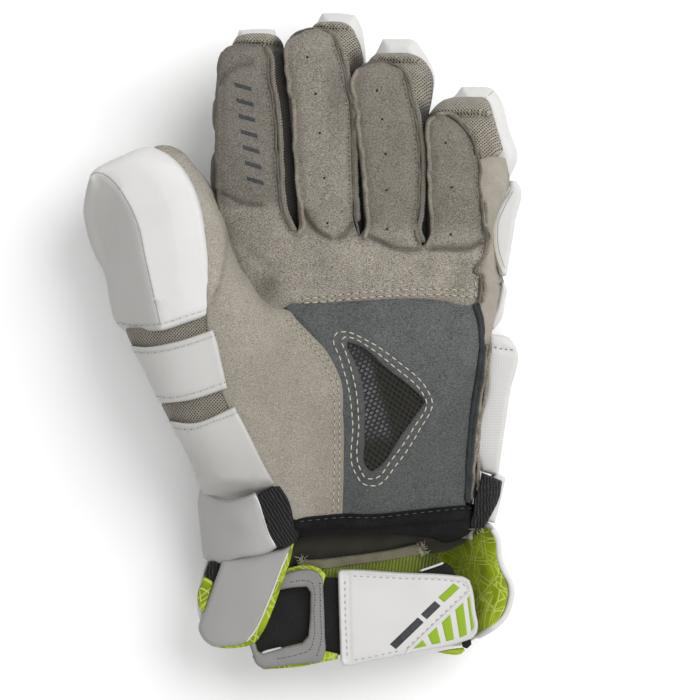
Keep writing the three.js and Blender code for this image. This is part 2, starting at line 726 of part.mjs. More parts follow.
const sideLow = backPad * 0.4;
const sideHigh = sideLow + sidePadRise;
const pinkyStall = stalls.pinky;
const pinkyPadGrow = { side: gap, up: gap, down: fingerPad + gap, tip: tipPad };
const clearOfPinky = loft(stallRings(pinkyStall, evenly(gap), fingerSides, fingerRound))
  .add(loft(stallRings(pinkyStall, pinkyPadGrow, padSides, padRound)));
const backTop = backPad + palmDepth * 0.2;
const overBack = inField(palmField, [[0, -0.2], [0.955, -0.2], [0.955, 1.0], [0, 1.0]]);
for (const pad of sidePads) {
  const block = bevelledPlate(inField(palmField, pad.outline), sideLow, sideHigh, suedeWall)
    .subtract(clearOfHand)
    .subtract(clearOfPinky)
    .subtract(prism(overBack, 0, backTop + gap));
  addPiece(pad.name, block, colours.leather, 0.4);
}

// Straps round the wrist end
const wrapOver = { side: thumbPad + wrapWall, right: -thumbPad, up: wrapWall, down: wrapWall, tip: 0 };
const clearOfLowPad = thumbPadBody.intersect(prism(grown(thumbLowOutline, gap), 0, skyLevel));
const thumbWrap = thumbLoft(wrapOver)
  .subtract(clearOfHand)
  .intersect(prism(wrapOutline, backPad, skyLevel))
  .subtract(clearOfLowPad);
addPiece('thumb_wrap', thumbWrap, colours.leather, 0.4);
const clearOfWrap = thumbLoft({
  side: wrapOver.side + gap,
  right: wrapOver.right,
  up: wrapWall + gap,
  down: wrapWall + gap,
  tip: 0,
}).intersect(prism(grown(wrapOutline, gap), backPad - gap, skyLevel));

const elasticLeft = handLoft(elasticWall + gap)
  .add(thumbLoft(evenly(elasticWall + gap)))
  .subtract(clearOfHand)
  .intersect(prism(elasticLeftOutline, shellMiddle, skyLevel))
  .subtract(prism(grown(wrapOutline, gap), 0, skyLevel))
  .subtract(clearOfLowPad)
  .subtract(binding);
addPiece('elastic_left', elasticLeft, colours.elastic, 0.8);

const elasticRight = handLoft(elasticWall * 5)
  .subtract(clearOfHand)
  .intersect(prism(elasticRightOutline, sideHigh + gap, skyLevel))
  .subtract(binding);
addPiece('elastic_right', elasticRight, colours.elastic, 0.8);

// Cuff
const linerOutline = inField(palmField, [[-0.1, -0.11], [1.1, -0.11], [1.1, 0.15], [-0.1, 0.15]]);
const wristLiner = handCavity(suedeWall + gap)
  .subtract(handCavity(suedeWall + gap + liningWall))
  .intersect(prism(linerOutline, 0, shellMiddle));
addPiece('wrist_liner', wristLiner, colours.liner, 0.95);
addPiece(
  'cuff_pad',
  cuffLayer(liningWall + gap, liningWall + gap + cuffPad).subtract(clearOfWrap),
  colours.leather,
  0.4,
);
addPiece('cuff_lining', cuffLayer(0, liningWall).subtract(clearOfWrap), colours.lining, 0.8);

const flap = prism(flapOutline, flapLevel, flapLevel + flapWall).subtract(clearOfWrap);
addPiece('cuff_flap', flap, colours.leather, 0.4);
const flapLining = prism(grown(flapOutline, suedeWall), flapLevel - gap - liningWall, flapLevel - gap)
  .intersect(prism(flapCutOutline, 0, skyLevel))
  .subtract(clearOfWrap);
addPiece('cuff_flap_lining', flapLining, colours.lining, 0.8);

// The elastic lies flat under the tab and the loop.
const loopHole = prism(loopOpening, 0, skyLevel);
const loopPlate = prism(loopOutline, loopLevel, loopLevel + loopWall).subtract(loopHole);
addPiece('strap_loop', loopPlate, colours.leather, 0.5);
const loopLining = prism(grown(loopOutline, liningWall), strapLevel, strapLevel + liningWall)
  .subtract(prism(grown(loopOpening, liningWall), 0, skyLevel))
  .subtract(prism(grown(tabOutline, gap), 0, skyLevel));
addPiece('strap_loop_lining', loopLining, colours.lining, 0.8);
addPiece('strap_tab', prism(tabOutline, strapLevel, strapLevel + tabWall), colours.leather, 0.4);

const elasticField = {
  x: loopField.x + loopWidth * 0.1,
  y: tabField.y + tabLength * 0.12,
  width: tabField.x - loopField.x + tabWidth * 0.85,
  length: tabLength * 0.78,
};
const elasticOutline = inField(elasticField, [[0, 0], [1, 0], [1, 1], [0, 1]]);
addPiece('strap_elastic', prism(elasticOutline, strapTop - elasticWall, strapTop), colours.elastic, 0.8);

// The middle of the footprint is the origin, on the ground.
const box = new THREE.Box3().setFromObject(glove);
const middle = box.getCenter(new THREE.Vector3());
glove.position.set(-middle.x, -middle.y, -box.min.z);

export default glove;
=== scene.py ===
"""A left-hand padded field glove, lying palm up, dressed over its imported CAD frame.

Outlines are named lists of photograph pixels, two to a millimetre, read from straight above.
Heights are millimetres above the ground that the glove's back lies on.
"""

import math

import bpy
import numpy as np
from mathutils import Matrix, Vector
from mathutils.bvhtree import BVHTree
from mathutils.geometry import delaunay_2d_cdt


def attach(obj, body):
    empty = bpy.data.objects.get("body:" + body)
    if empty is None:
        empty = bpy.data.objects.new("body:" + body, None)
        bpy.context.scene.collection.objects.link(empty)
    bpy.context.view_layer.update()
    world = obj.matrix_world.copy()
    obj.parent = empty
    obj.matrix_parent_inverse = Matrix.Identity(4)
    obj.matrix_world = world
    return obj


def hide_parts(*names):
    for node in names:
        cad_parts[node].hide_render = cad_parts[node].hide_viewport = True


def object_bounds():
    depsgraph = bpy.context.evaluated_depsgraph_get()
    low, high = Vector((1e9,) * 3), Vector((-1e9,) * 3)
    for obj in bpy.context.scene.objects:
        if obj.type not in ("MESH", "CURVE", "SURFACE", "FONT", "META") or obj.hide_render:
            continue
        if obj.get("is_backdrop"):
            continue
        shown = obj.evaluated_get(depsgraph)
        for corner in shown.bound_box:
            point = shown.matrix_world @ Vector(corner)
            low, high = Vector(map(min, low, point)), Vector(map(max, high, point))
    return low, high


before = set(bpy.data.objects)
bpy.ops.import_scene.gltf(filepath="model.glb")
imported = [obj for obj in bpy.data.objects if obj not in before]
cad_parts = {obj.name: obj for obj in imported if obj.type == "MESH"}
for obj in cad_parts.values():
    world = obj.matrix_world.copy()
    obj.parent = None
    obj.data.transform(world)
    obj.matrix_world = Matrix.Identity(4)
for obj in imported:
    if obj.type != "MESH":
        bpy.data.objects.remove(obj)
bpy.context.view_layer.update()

MM = 0.001
PIXEL_MM = 0.5
ORIGIN_PIXEL = np.array([304.58, 343.23])
PICTURE_MIDDLE = np.array([350.0, 350.0])
PICTURE_WIDTH_MM = 350.0
BODY = "root"
RAY_START = 200.0


# Numbers and curves

def mm(points):
    """Pixels to millimetres in the frame: x to the right, y up the picture."""
    p = np.asarray(points, float)[..., :2]
    return np.stack([p[..., 0] - ORIGIN_PIXEL[0], ORIGIN_PIXEL[1] - p[..., 1]], -1) * PIXEL_MM


def smoothstep(t):
    t = np.clip(t, 0, 1)
    return t * t * (3 - 2 * t)


def ripple(x, y, wave, seed, count=7):
    """A smooth, seeded, roughly unit-size unevenness with about the given wavelength in mm."""
    rng = np.random.default_rng(seed)
    total = np.zeros_like(x, dtype=float)
    for _ in range(count):
        angle = rng.uniform(0, 2 * math.pi)
        turn = 2 * math.pi / (wave * rng.uniform(0.65, 1.5))
        phase = rng.uniform(0, 2 * math.pi)
        total += np.sin((x * math.cos(angle) + y * math.sin(angle)) * turn + phase)
    return total / math.sqrt(count)


def curve(points, step, closed, corner=55.0):
    """A smooth line through points, sharp where it turns by more than corner degrees."""
    p = np.asarray(points, float)
    n = len(p)
    spans = n if closed else n - 1
    chord = [p[(i + 1) % n] - p[i] for i in range(spans)]
    length = [max(np.linalg.norm(c), 1e-6) for c in chord]

    def heading(i, other):
        """The way span i runs where it meets another span."""
        unit = chord[i] / length[i]
        if not closed and not 0 <= other < spans:
            return unit
        other %= spans
        beyond = chord[other] / length[other]
        if np.degrees(np.arccos(np.clip(unit @ beyond, -1, 1))) >= corner:
            return unit
        return (unit * length[other] + beyond * length[i]) / (length[other] + length[i])

    out = []
    for i in range(spans):
        t = np.linspace(0, 1, max(2, int(length[i] / step * 2)), endpoint=False)[:, None]
        a = 2 * t ** 3 - 3 * t ** 2 + 1
        b = t ** 3 - 2 * t ** 2 + t
        c = -2 * t ** 3 + 3 * t ** 2
        d = t ** 3 - t ** 2
        start, end = heading(i, i - 1), heading(i, i + 1)
        out.append(a * p[i] + b * length[i] * start + c * p[(i + 1) % n] + d * length[i] * end)
    if not closed:
        out.append(p[-1:])
    return resample(np.concatenate(out), step, closed)


def run_along(line):
    """How far along a line each of its points lies."""
    return np.concatenate([[0], np.cumsum(np.linalg.norm(np.diff(line, axis=0), axis=1))])


def points_at(line, run, at):
    """Points of a line at distances along it."""
    return np.stack([np.interp(at, run, line[:, k]) for k in range(line.shape[1])], -1)


def resample(fine, step, closed):
    loop = np.concatenate([fine, fine[:1]]) if closed else fine
    run = run_along(loop)
    count = max(3, int(round(run[-1] / step)))
    even = points_at(loop, run, np.linspace(0, run[-1], count + 1))
    return even[:-1] if closed else even


def distance_to(points, line, closed):
    """Distance from each point to a polyline, in mm."""
    a = line
    b = np.roll(line, -1, 0) if closed else line[1:]
    a = a if closed else line[:-1]
    best = np.full(len(points), 1e9)
    for i in range(0, len(a), 64):
        s, e = a[i:i + 64][None], b[i:i + 64][None]
        run = e - s
        t = np.sum((points[:, None] - s) * run, -1) / np.maximum(np.sum(run * run, -1), 1e-9)
        near = s + np.clip(t, 0, 1)[..., None] * run
        best = np.minimum(best, np.linalg.norm(points[:, None] - near, axis=-1).min(1))
    return best


def inside(points, loop):
    x, y = points[:, 0][:, None], points[:, 1][:, None]
    a, b = loop, np.roll(loop, -1, 0)
    crosses = (a[:, 1][None] > y) != (b[:, 1][None] > y)
    rise = np.where(np.abs(b[:, 1] - a[:, 1]) < 1e-9, 1e-9, b[:, 1] - a[:, 1])
    at = (b[:, 0] - a[:, 0])[None] * (y - a[:, 1][None]) / rise[None] + a[:, 0][None]
    return (crosses & (x < at)).sum(1) % 2 == 1


def within(points, loops):
    """Inside the first loop and outside the holes that follow it."""
    whole = inside(points, loops[0])
    for hole in loops[1:]:
        whole &= ~inside(points, hole)
    return whole


def nearest(points, loops):
    return np.min([distance_to(points, ring, True) for ring in loops], 0)


def signed_area(ring):
    after = np.roll(ring, -1, 0)
    return np.sum(ring[:, 0] * after[:, 1] - after[:, 0] * ring[:, 1])


def along_line(spots, pixels, width, step=1.0):
    """1 on a line of pixels, fading over about width mm to either side."""
    return np.exp(-(distance_to(spots, curve(mm(pixels), step, False), False) / width) ** 2)


def heights(surface, x, y):
    """A surface is a function of place, or one height for everywhere."""
    return surface(x, y) if callable(surface) else np.full(len(x), float(surface))


def raised(surface, by):
    return lambda x, y: surface(x, y) + by


def uneven(level, size, wave, seed):
    """A nearly level surface."""
    return lambda x, y: level + size * ripple(x, y, wave, seed)


# Meshes

skins = {}


def new_object(name, verts, faces, material, slot, uv=None, shade=None, replaces=()):
    """One piece from vertices in mm, with uv in mm for each face corner and a shade for each vertex."""
    mesh = bpy.data.meshes.new(name)
    mesh.from_pydata((np.asarray(verts, float) * MM).tolist(), [], faces)
    mesh.materials.append(material)
    mesh.polygons.foreach_set("use_smooth", [True] * len(mesh.polygons))
    if uv is not None:
        layer = mesh.uv_layers.new(name="Cloth")
        layer.data.foreach_set("uv", np.asarray(uv, np.float32).ravel())
    if shade is None:
        shade = np.zeros((len(verts), 3))
    colour = np.ones((len(verts), 4), np.float32)
    colour[:, :3] = shade
    attribute = mesh.attributes.new("shade", "FLOAT_COLOR", "POINT")
    attribute.data.foreach_set("color", colour.ravel())
    mesh.update()
    piece = bpy.data.objects.new(name, mesh)
    bpy.context.scene.collection.objects.link(piece)
    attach(piece, BODY)
    if replaces:
        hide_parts(*replaces)
    return piece


def keep_skin(name, verts, faces):
    skins[name] = BVHTree.FromPolygons(np.asarray(verts, float).tolist(), faces)


def height_on(names, x, y):
    """The highest point of the named skins under a spot, or None."""
    best = None
    for name in names:
        hit = skins[name].ray_cast(Vector((x, y, RAY_START)), Vector((0, 0, -1)))[0]
        if hit is not None and (best is None or hit.z > best.z):
            best = hit
    return best


RING_DEPTHS = (0.25, 0.7, 1.3, 2.1, 3.2, 4.6, 6.4)
THINNEST = 0.2
WALL_ROW = 2.0
SHADE_WIDTH = 2.0


def flat_mesh(loops, reach, step, spacing):
    """Triangles inside loops, in rings near the edges and an even grid beyond them."""
    depths = np.array([d for d in RING_DEPTHS if d < reach] + [reach])
    rows = []
    for ring in loops:
        along = np.roll(ring, -1, 0) - np.roll(ring, 1, 0)
        normal = np.stack([-along[:, 1], along[:, 0]], -1)
        normal /= np.maximum(np.linalg.norm(normal, axis=1, keepdims=True), 1e-9)
        inward = normal * (1 if signed_area(ring) > 0 else -1) * (1 if ring is loops[0] else -1)
        for depth in depths:
            thin = max(1, int(round(depth / step / 1.6)))
            rows.append((ring + inward * depth)[::thin])
    ring_count = sum(len(row) for row in rows)
    low, high = loops[0].min(0), loops[0].max(0)
    gx, gy = np.meshgrid(np.arange(low[0], high[0], spacing), np.arange(low[1], high[1], spacing * 0.87))
    gx = gx + (np.arange(gx.shape[0]) % 2)[:, None] * spacing / 2
    rest = np.concatenate(rows + [np.stack([gx.ravel(), gy.ravel()], -1)])
    whole = within(rest, loops)
    is_grid = (np.arange(len(rest)) >= ring_count)[whole]
    rest = rest[whole]
    away = nearest(rest, loops)
    gap = np.min(np.abs(away[:, None] - depths) / depths, 1)
    rest = rest[np.where(is_grid, away > reach + spacing * 0.5, gap < 0.12)]
    spans = []
    start = 0
    for ring in loops:
        spans.append(range(start, start + len(ring)))
        start += len(ring)
    edges = [(i, i + 1 if i + 1 in span else span[0]) for span in spans for i in span]
    flat = np.concatenate(loops + [rest])
    found, _, cells, origins = delaunay_2d_cdt([Vector(p) for p in flat.tolist()], edges, [], 1, 1e-5)[:4]
    xy = np.array([[v.x, v.y] for v in found])
    tris = np.array([cell for cell in cells if len(cell) == 3], int)
    tris = tris[within(xy[tris].mean(1), loops)]
    signed = np.cross(xy[tris[:, 1]] - xy[tris[:, 0]], xy[tris[:, 2]] - xy[tris[:, 0]])
    tris[signed < 0] = tris[signed < 0][:, ::-1]
    new_of = {old: new for new, olds in enumerate(origins) for old in olds}
    return xy, tris, [[new_of[i] for i in span] for span in spans]


def rounding(away, radius):
    """How far a quarter-round edge falls, by the distance from the edge."""
    reach = np.clip(radius - away, 0, radius)
    return radius - np.sqrt(np.maximum(radius ** 2 - reach ** 2, 0))


def pillow(name, outline, top, bottom, material, slot, round_top=1.0, round_bottom=1.0, step=1.0,
           spacing=1.6, holes=(), grooves=(), replaces=(), closed_corner=55.0, extra=None, painted=0.0,
           turn=0.0):
    """A closed piece over an outline: a rounded top and bottom, and a wall between them."""
    loops = [curve(mm(line), step, True, closed_corner) for line in (outline, *holes)]
    xy, tris, rims = flat_mesh(loops, max(round_top, round_bottom), step, spacing)
    away = nearest(xy, loops)
    x, y = xy.T
    up = heights(top, x, y)
    groove = np.zeros(len(x))
    for line, width, depth in grooves:
        cut = along_line(xy, line, width, step)
        up = up - depth * cut
        groove = np.maximum(groove, cut)
    if extra is not None:
        up = up + extra(x, y, away)
    down = heights(bottom, x, y) + rounding(away, round_bottom)
    up = np.maximum(up - rounding(away, round_top), down + THINNEST)
    shade = np.column_stack([np.exp(-away / SHADE_WIDTH), groove, heights(painted, x, y)])
    count = len(xy)
    verts = [np.column_stack([xy, up]), np.column_stack([xy, down])]
    shades = [shade, shade]
    c, s = math.cos(math.radians(turn)), math.sin(math.radians(turn))
    cloth = xy @ np.array([[c, s], [-s, c]])
    faces = [tuple(t) for t in tris.tolist()] + [tuple(count + v for v in t[::-1]) for t in tris.tolist()]
    uv = [cloth[tris].reshape(-1, 2), cloth[tris[:, ::-1]].reshape(-1, 2)]
    total = count * 2
    for ring, ids in zip(loops, rims):
        if (signed_area(ring) < 0) == (ring is loops[0]):
            ids = ids[::-1]
        size = len(ids)
        tall = float(np.mean(up[ids] - down[ids]))
        rows = max(1, int(round(tall / WALL_ROW)))
        levels = [np.array(ids)]
        for r in range(1, rows):
            t = r / rows
            z = up[ids] * (1 - t) + down[ids] * t
            verts.append(np.column_stack([xy[ids], z]))
            fade = np.exp(-(up[ids] - z) / SHADE_WIDTH)
            shades.append(np.column_stack([fade, np.zeros(size), shade[ids, 2]]))
            levels.append(total + np.arange(size))
            total += size
        levels.append(np.array(ids) + count)
        arc = np.arange(size + 1) * step
        for r, (a, b) in enumerate(zip(levels, levels[1:])):
            va, vb = -tall * r / rows, -tall * (r + 1) / rows
            for i in range(size):
                j = (i + 1) % size
                faces.append((int(a[j]), int(a[i]), int(b[i]), int(b[j])))
                uv.append(np.array([[arc[i + 1], va], [arc[i], va], [arc[i], vb], [arc[i + 1], vb]]))
    verts = np.concatenate(verts)
    keep_skin(name, verts, faces)
    return new_object(name, verts, faces, material, slot, np.concatenate(uv), np.concatenate(shades),
                      replaces)


class Stall:
    """A sleeve round the hand, the thumb or a finger. Rows hold pixel y, left and right, then
    the middle's height and the half depth in mm, from root to tip."""

    def __init__(self, rows, power=2.6):
        table = np.array(rows, float)
        y = (ORIGIN_PIXEL[1] - table[:, 0]) * PIXEL_MM
        left = (table[:, 1] - ORIGIN_PIXEL[0]) * PIXEL_MM
        right = (table[:, 2] - ORIGIN_PIXEL[0]) * PIXEL_MM
        path = curve(np.column_stack([y, left, right, table[:, 3], table[:, 4]]), 0.8, False, 80.0)
        self.y, *self.columns = path[np.argsort(path[:, 0])].T
        self.power = power

    def at(self, y, grow=0.0):
        """Middle, half width, middle height and half depth at a y."""
        left, right, level, half = [np.interp(y, self.y, column) for column in self.columns]
        return (left + right) / 2, (right - left) / 2 + grow, level, half + grow

    def top(self, x, y, grow=0.0):
        centre, wide, level, half = self.at(y, grow)
        side = np.clip(np.abs(x - centre) / np.maximum(wide, 0.1), 0, 1)
        return level + half * (1 - side ** self.power) ** (1 / self.power)

    def section(self, angle):
        """Across, up and size of a rounded section at angles."""
        c, s = np.cos(angle), np.sin(angle)
        return c, s, (np.abs(c) ** self.power + np.abs(s) ** self.power) ** (-1 / self.power)

    def rings(self, y_list, sides, sink=lambda y: 0.0):
        """Round sections at each y; sink lowers the top half by so many mm."""
        c, s, size = self.section(np.linspace(0, 2 * math.pi, sides, endpoint=False))
        out = []
        for y in y_list:
            centre, wide, level, half = self.at(y)
            z = level + s * size * np.where(s > 0, max(half - sink(y), 1.0), half)
            out.append(np.column_stack([centre + c * size * wide, np.full(sides, y), z]))
        return np.array(out)

    def trough(self, y_list, sides, outer, inner, start, end):
        """C-shaped sections, between two angles in turns of pi, from an outer skin to an inner one."""
        c, s, size = self.section(np.linspace(math.pi * start, math.pi * end, sides))
        out = []
        for y in y_list:
            rows = []
            row_y = np.full(sides, y)
            for grow, way in ((outer, 1), (inner, -1)):
                centre, wide, level, half = self.at(y, grow)
                ring = np.column_stack([centre + c * size * wide, row_y, level + s * size * half])
                rows.append(ring[::way])
            out.append(np.concatenate(rows))
        return np.array(out)


def tube(name, rings, material, slot, replaces=(), shade=None):
    """A closed skin through rings, its uv in mm round and along."""
    count, sides = rings.shape[:2]
    middle = rings[count // 2]
    u = run_along(np.concatenate([middle, middle[:1]]))
    v = run_along(rings.mean(1))
    faces = []
    uv = []
    for r in range(count - 1):
        for s in range(sides):
            n = (s + 1) % sides
            faces.append((r * sides + s, r * sides + n, (r + 1) * sides + n, (r + 1) * sides + s))
            uv.append([[u[s], v[r]], [u[s + 1], v[r]], [u[s + 1], v[r + 1]], [u[s], v[r + 1]]])
    faces.append(tuple(range(sides))[::-1])
    uv.append([[p[0], p[2]] for p in rings[0][::-1]])
    faces.append(tuple((count - 1) * sides + s for s in range(sides)))
    uv.append([[p[0], p[2]] for p in rings[-1]])
    turn = signed_area(middle[:, [0, 2]])
    going = np.sign(rings[-1, 0, 1] - rings[0, 0, 1]) or 1.0
    if turn * going > 0:
        faces = [face[::-1] for face in faces]
        uv = [corners[::-1] for corners in uv]
    verts = rings.reshape(-1, 3)
    keep_skin(name, verts, faces)
    corners = [corner for face in uv for corner in face]
    return new_object(name, verts, faces, material, slot, corners, shade, replaces)


def painted_only(amount):
    """A shade for each vertex with nothing but paint."""
    return np.column_stack([0 * amount, 0 * amount, amount])


def rope(points, radius, sides=8, taper=True):
    """Vertices and faces of a round cord along 3-D points in mm."""
    p = np.asarray(points, float)
    tangent = np.gradient(p, axis=0)
    tangent /= np.maximum(np.linalg.norm(tangent, axis=1, keepdims=True), 1e-9)
    up = np.array([0.0, 0.0, 1.0])
    side = np.cross(tangent, up)
    weak = np.linalg.norm(side, axis=1) < 0.05
    side[weak] = [1, 0, 0]
    side /= np.linalg.norm(side, axis=1, keepdims=True)
    over = np.cross(side, tangent)
    angle = np.linspace(0, 2 * math.pi, sides, endpoint=False)
    size = np.full(len(p), float(radius))
    if taper:
        size[0] *= 0.45
        size[-1] *= 0.45
    ring = p[:, None] + size[:, None, None] * (
        np.cos(angle)[None, :, None] * side[:, None] + np.sin(angle)[None, :, None] * over[:, None]
    )
    verts = ring.reshape(-1, 3)
    faces = []
    for r in range(len(p) - 1):
        for s in range(sides):
            n = (s + 1) % sides
            faces.append((r * sides + s, (r + 1) * sides + s, (r + 1) * sides + n, r * sides + n))
    faces.append(tuple(range(sides)))
    faces.append(tuple((len(p) - 1) * sides + s for s in range(sides))[::-1])
    return verts, faces


def rope_uv(points, radius, sides=8):
    """Millimetres round and along, for each face corner of a rope."""
    run = run_along(points)
    u = np.linspace(0, 2 * math.pi * radius, sides + 1)
    uv = []
    for r in range(len(run) - 1):
        for k in range(sides):
            uv += [[u[k], run[r]], [u[k], run[r + 1]], [u[k + 1], run[r + 1]], [u[k + 1], run[r]]]
    return uv + [[0, 0]] * (2 * sides)


def gather(parts):
    verts, faces, start = [], [], 0
    for v, f in parts:
        verts.append(v)
        faces += [tuple(start + i for i in face) for face in f]
        start += len(v)
    return np.concatenate(verts), faces


STITCH_SINK = 0.25


def stitches(name, rows, on, material, slot, length=2.2, pitch=3.3, radius=0.36, closed=False):
    """Rows of separate threads laid on the named skins."""
    parts = []
    arch = np.array([-STITCH_SINK, radius * 0.55, radius * 0.75, radius * 0.55, -STITCH_SINK])
    for row in rows:
        line = curve(mm(row), 0.4, closed)
        run = run_along(line)
        count = max(1, int(run[-1] / pitch))
        for k in range(count):
            start = (k + 0.5) * run[-1] / count - length / 2
            spots = points_at(line, run, np.linspace(start, start + length, len(arch)))
            found = [height_on(on, x, y) for x, y in spots]
            if any(f is None for f in found):
                continue
            z = np.array([f.z for f in found]) + arch
            parts.append(rope(np.column_stack([spots, z]), radius, 6))
    return new_object(name, *gather(parts), material, slot)


def spaced(rows, pitch):
    """The needle holes between the threads of each row, as pixels."""
    out = []
    for row in rows:
        line = curve(np.array(row, float), 0.8, False)
        run = run_along(line)
        count = max(1, int(run[-1] * PIXEL_MM / pitch)) + 1
        out += points_at(line, run, np.linspace(0, run[-1], count)).tolist()
    return out


def discs(name, spots, on, radius, lift, material, slot, sides=8):
    """Small round marks on the named skins: punched holes and needle holes."""
    parts = []
    angle = np.linspace(0, 2 * math.pi, sides, endpoint=False)
    for x, y in mm(spots):
        found = height_on(on, x, y)
        if found is None:
            continue
        rim_height = np.full(sides, found.z + lift - 0.12)
        rim = np.column_stack([x + radius * np.cos(angle), y + radius * np.sin(angle), rim_height])
        verts = np.concatenate([rim, [[x, y, found.z + lift]], rim - [0, 0, 0.5]])
        faces = [(i, (i + 1) % sides, sides) for i in range(sides)]
        faces += [((i + 1) % sides, i, sides + 1 + i, sides + 1 + (i + 1) % sides) for i in range(sides)]
        faces.append(tuple(range(2 * sides, sides, -1)))
        parts.append((verts, faces))
    return new_object(name, *gather(parts), material, slot)


def sewn(name, rows, on, yarn, slot, thread_size, hole, hole_size):
    """Stitched rows with a needle hole between each two threads."""
    stitches(f"{name}_stitches", rows, [on], yarn, slot, *thread_size)
    discs(f"{name}_holes", spaced(rows, thread_size[1]), [on], *hole_size, hole, slot)


PIPING_STEP = 0.9


def piping(name, rows, on, radius, lift, material, slot, wave=0.0, seed=1, sides=10):
    """Rolled edges and seam ridges laid along lines, on named skins or at a height worked out."""
    parts = []
    uv = []
    for number, row in enumerate(rows):
        spots = []
        for x, y in curve(mm(row), PIPING_STEP, False):
            if isinstance(on, list):
                found = height_on(on, x, y)
                if found is not None:
                    spots.append([x, y, found.z + lift])
            else:
                spots.append([x, y, float(heights(on, np.array([x]), np.array([y]))[0]) + lift])
        smooth = np.array(spots)
        for _ in range(2):
            smooth[1:-1, 2] = (smooth[:-2, 2] + smooth[1:-1, 2] + smooth[2:, 2]) / 3
        if wave:
            at = np.arange(len(smooth)) * PIPING_STEP
            smooth[:, 2] += wave * ripple(at, at * 0, 7.0, seed + number)
            smooth[:, 0] += wave * 0.7 * ripple(at, at * 0, 9.0, seed + 20 + number)
        parts.append(rope(smooth, radius, sides))
        uv += rope_uv(smooth, radius, sides)
    return new_object(name, *gather(parts), material, slot, uv)


# Materials

SHOWN = 0.84


def link(tree, socket, value):
    if isinstance(value, bpy.types.NodeSocket):
        tree.links.new(value, socket)
    else:
        socket.default_value = value


def node(tree, kind, values=None, **settings):
    made = tree.nodes.new(kind)
    for key, value in settings.items():
        setattr(made, key, value)
    for key, value in (values or {}).items():
        link(tree, made.inputs[key], value)
    return made


def maths(tree, operation, a, b=0.0, c=0.0, clamp=False):
    made = node(tree, "ShaderNodeMath", operation=operation, use_clamp=clamp)
    for socket, value in zip(made.inputs, (a, b, c)):
        link(tree, socket, value)
    return made.outputs[0]


def blend_colour(tree, factor, a, b, mode="MIX"):
    made = node(tree, "ShaderNodeMix", data_type="RGBA", blend_type=mode)
    link(tree, made.inputs[0], factor)
    link(tree, made.inputs[6], a)
    link(tree, made.inputs[7], b)
    return made.outputs[2]


def srgb(r, g, b):
    """A colour as it shows, 0 to 255, to the linear value that a shader takes under these lights."""
    out = []
    for v in (r, g, b):
        v = v / 255
        out.append(SHOWN * (v / 12.92 if v <= 0.04045 else ((v + 0.055) / 1.055) ** 2.4))
    return (*out, 1.0)


def noise(tree, place, scale, detail=3.0, rough=0.55, distortion=0.0):
    values = {"Vector": place, "Scale": scale, "Detail": detail, "Roughness": rough,
              "Distortion": distortion}
    return node(tree, "ShaderNodeTexNoise", values).outputs["Fac"]


def spread(tree, value, low, high, to_low=0.0, to_high=1.0):
    values = {"Value": value, "From Min": low, "From Max": high, "To Min": to_low, "To Max": to_high}
    return node(tree, "ShaderNodeMapRange", values, clamp=True).outputs["Result"]


def millimetres(tree):
    """Place on the object in millimetres."""
    where = node(tree, "ShaderNodeTexCoord").outputs["Object"]
    made = node(tree, "ShaderNodeVectorMath", {0: where, 1: (1000.0, 1000.0, 1000.0)}, operation="MULTIPLY")
    return made.outputs[0]


def cloth_uv(tree):
    return node(tree, "ShaderNodeUVMap", uv_map="Cloth").outputs["UV"]


def shade_parts(tree):
    """Edge, groove and painted shade, from the mesh."""
    made = node(tree, "ShaderNodeAttribute", attribute_name="shade")
    return node(tree, "ShaderNodeSeparateColor", {"Color": made.outputs["Color"]}).outputs[:3]


def dress(tree, shader, colour, rough, specular, sheen, relief, strength, depth):
    """Gives a material its colour, how it shines and its fine relief."""
    bump = node(tree, "ShaderNodeBump", {"Height": relief, "Strength": strength, "Distance": depth})
    inputs = {"Base Color": colour, "Roughness": rough, "Specular IOR Level": specular,
              "Sheen Weight": sheen, "Normal": bump.outputs["Normal"]}
    for key, value in inputs.items():
        link(tree, shader.inputs[key], value)


def material(name):
    made = bpy.data.materials.new(name)
    made.use_nodes = True
    tree = made.node_tree
    return made, tree, tree.nodes["Principled BSDF"]


def suede(name, dark, light, wear_and_painted_light, speck=1.0, grain=1.25, sheen=0.15, clouds=1.0):
    """Brushed suede: short nap that catches light in specks, cloudy where it has been stroked."""
    made, tree, shader = material(name)
    place = millimetres(tree)
    brushed = node(tree, "ShaderNodeMapping", {"Vector": place, "Rotation": (0.0, 0.0, 0.7),
                                               "Scale": (0.8, 1.35, 1.0)}).outputs[0]
    nap = noise(tree, brushed, grain, 3.0, 0.75)
    fibre = noise(tree, place, grain * 2.0, 2.0, 0.6)
    cloud = noise(tree, place, 0.055, 3.0, 0.6, 0.8)
    patch = noise(tree, place, 0.14, 3.0, 0.6, 0.5)
    tone = maths(tree, "ADD", spread(tree, nap, 0.25, 0.75, 0.5 - 0.62 * speck, 0.5 + 0.62 * speck),
                 spread(tree, fibre, 0.25, 0.75, -0.34 * speck, 0.34 * speck))
    tone = maths(tree, "ADD", tone, spread(tree, cloud, 0.35, 0.65, -0.15 * clouds, 0.15 * clouds))
    tone = maths(tree, "ADD", tone, spread(tree, patch, 0.35, 0.65, -0.1 * clouds, 0.1 * clouds), clamp=True)
    colour = blend_colour(tree, tone, dark, light)
    edge, groove, painted = shade_parts(tree)
    # Towards the third colour: wear and painted shade along the edges, painted shade in the grooves, and the
    # painted light or shade a piece carries.
    colour = blend_colour(tree, maths(tree, "MULTIPLY", edge, 0.35), colour, wear_and_painted_light)
    colour = blend_colour(tree, maths(tree, "MULTIPLY", groove, 0.45), colour, wear_and_painted_light)
    colour = blend_colour(tree, painted, colour, wear_and_painted_light)
    pile = maths(tree, "ADD", nap, maths(tree, "MULTIPLY", fibre, 0.6))
    dress(tree, shader, colour, 0.95, 0.15, sheen, pile, 0.75, 0.0006)
    return made


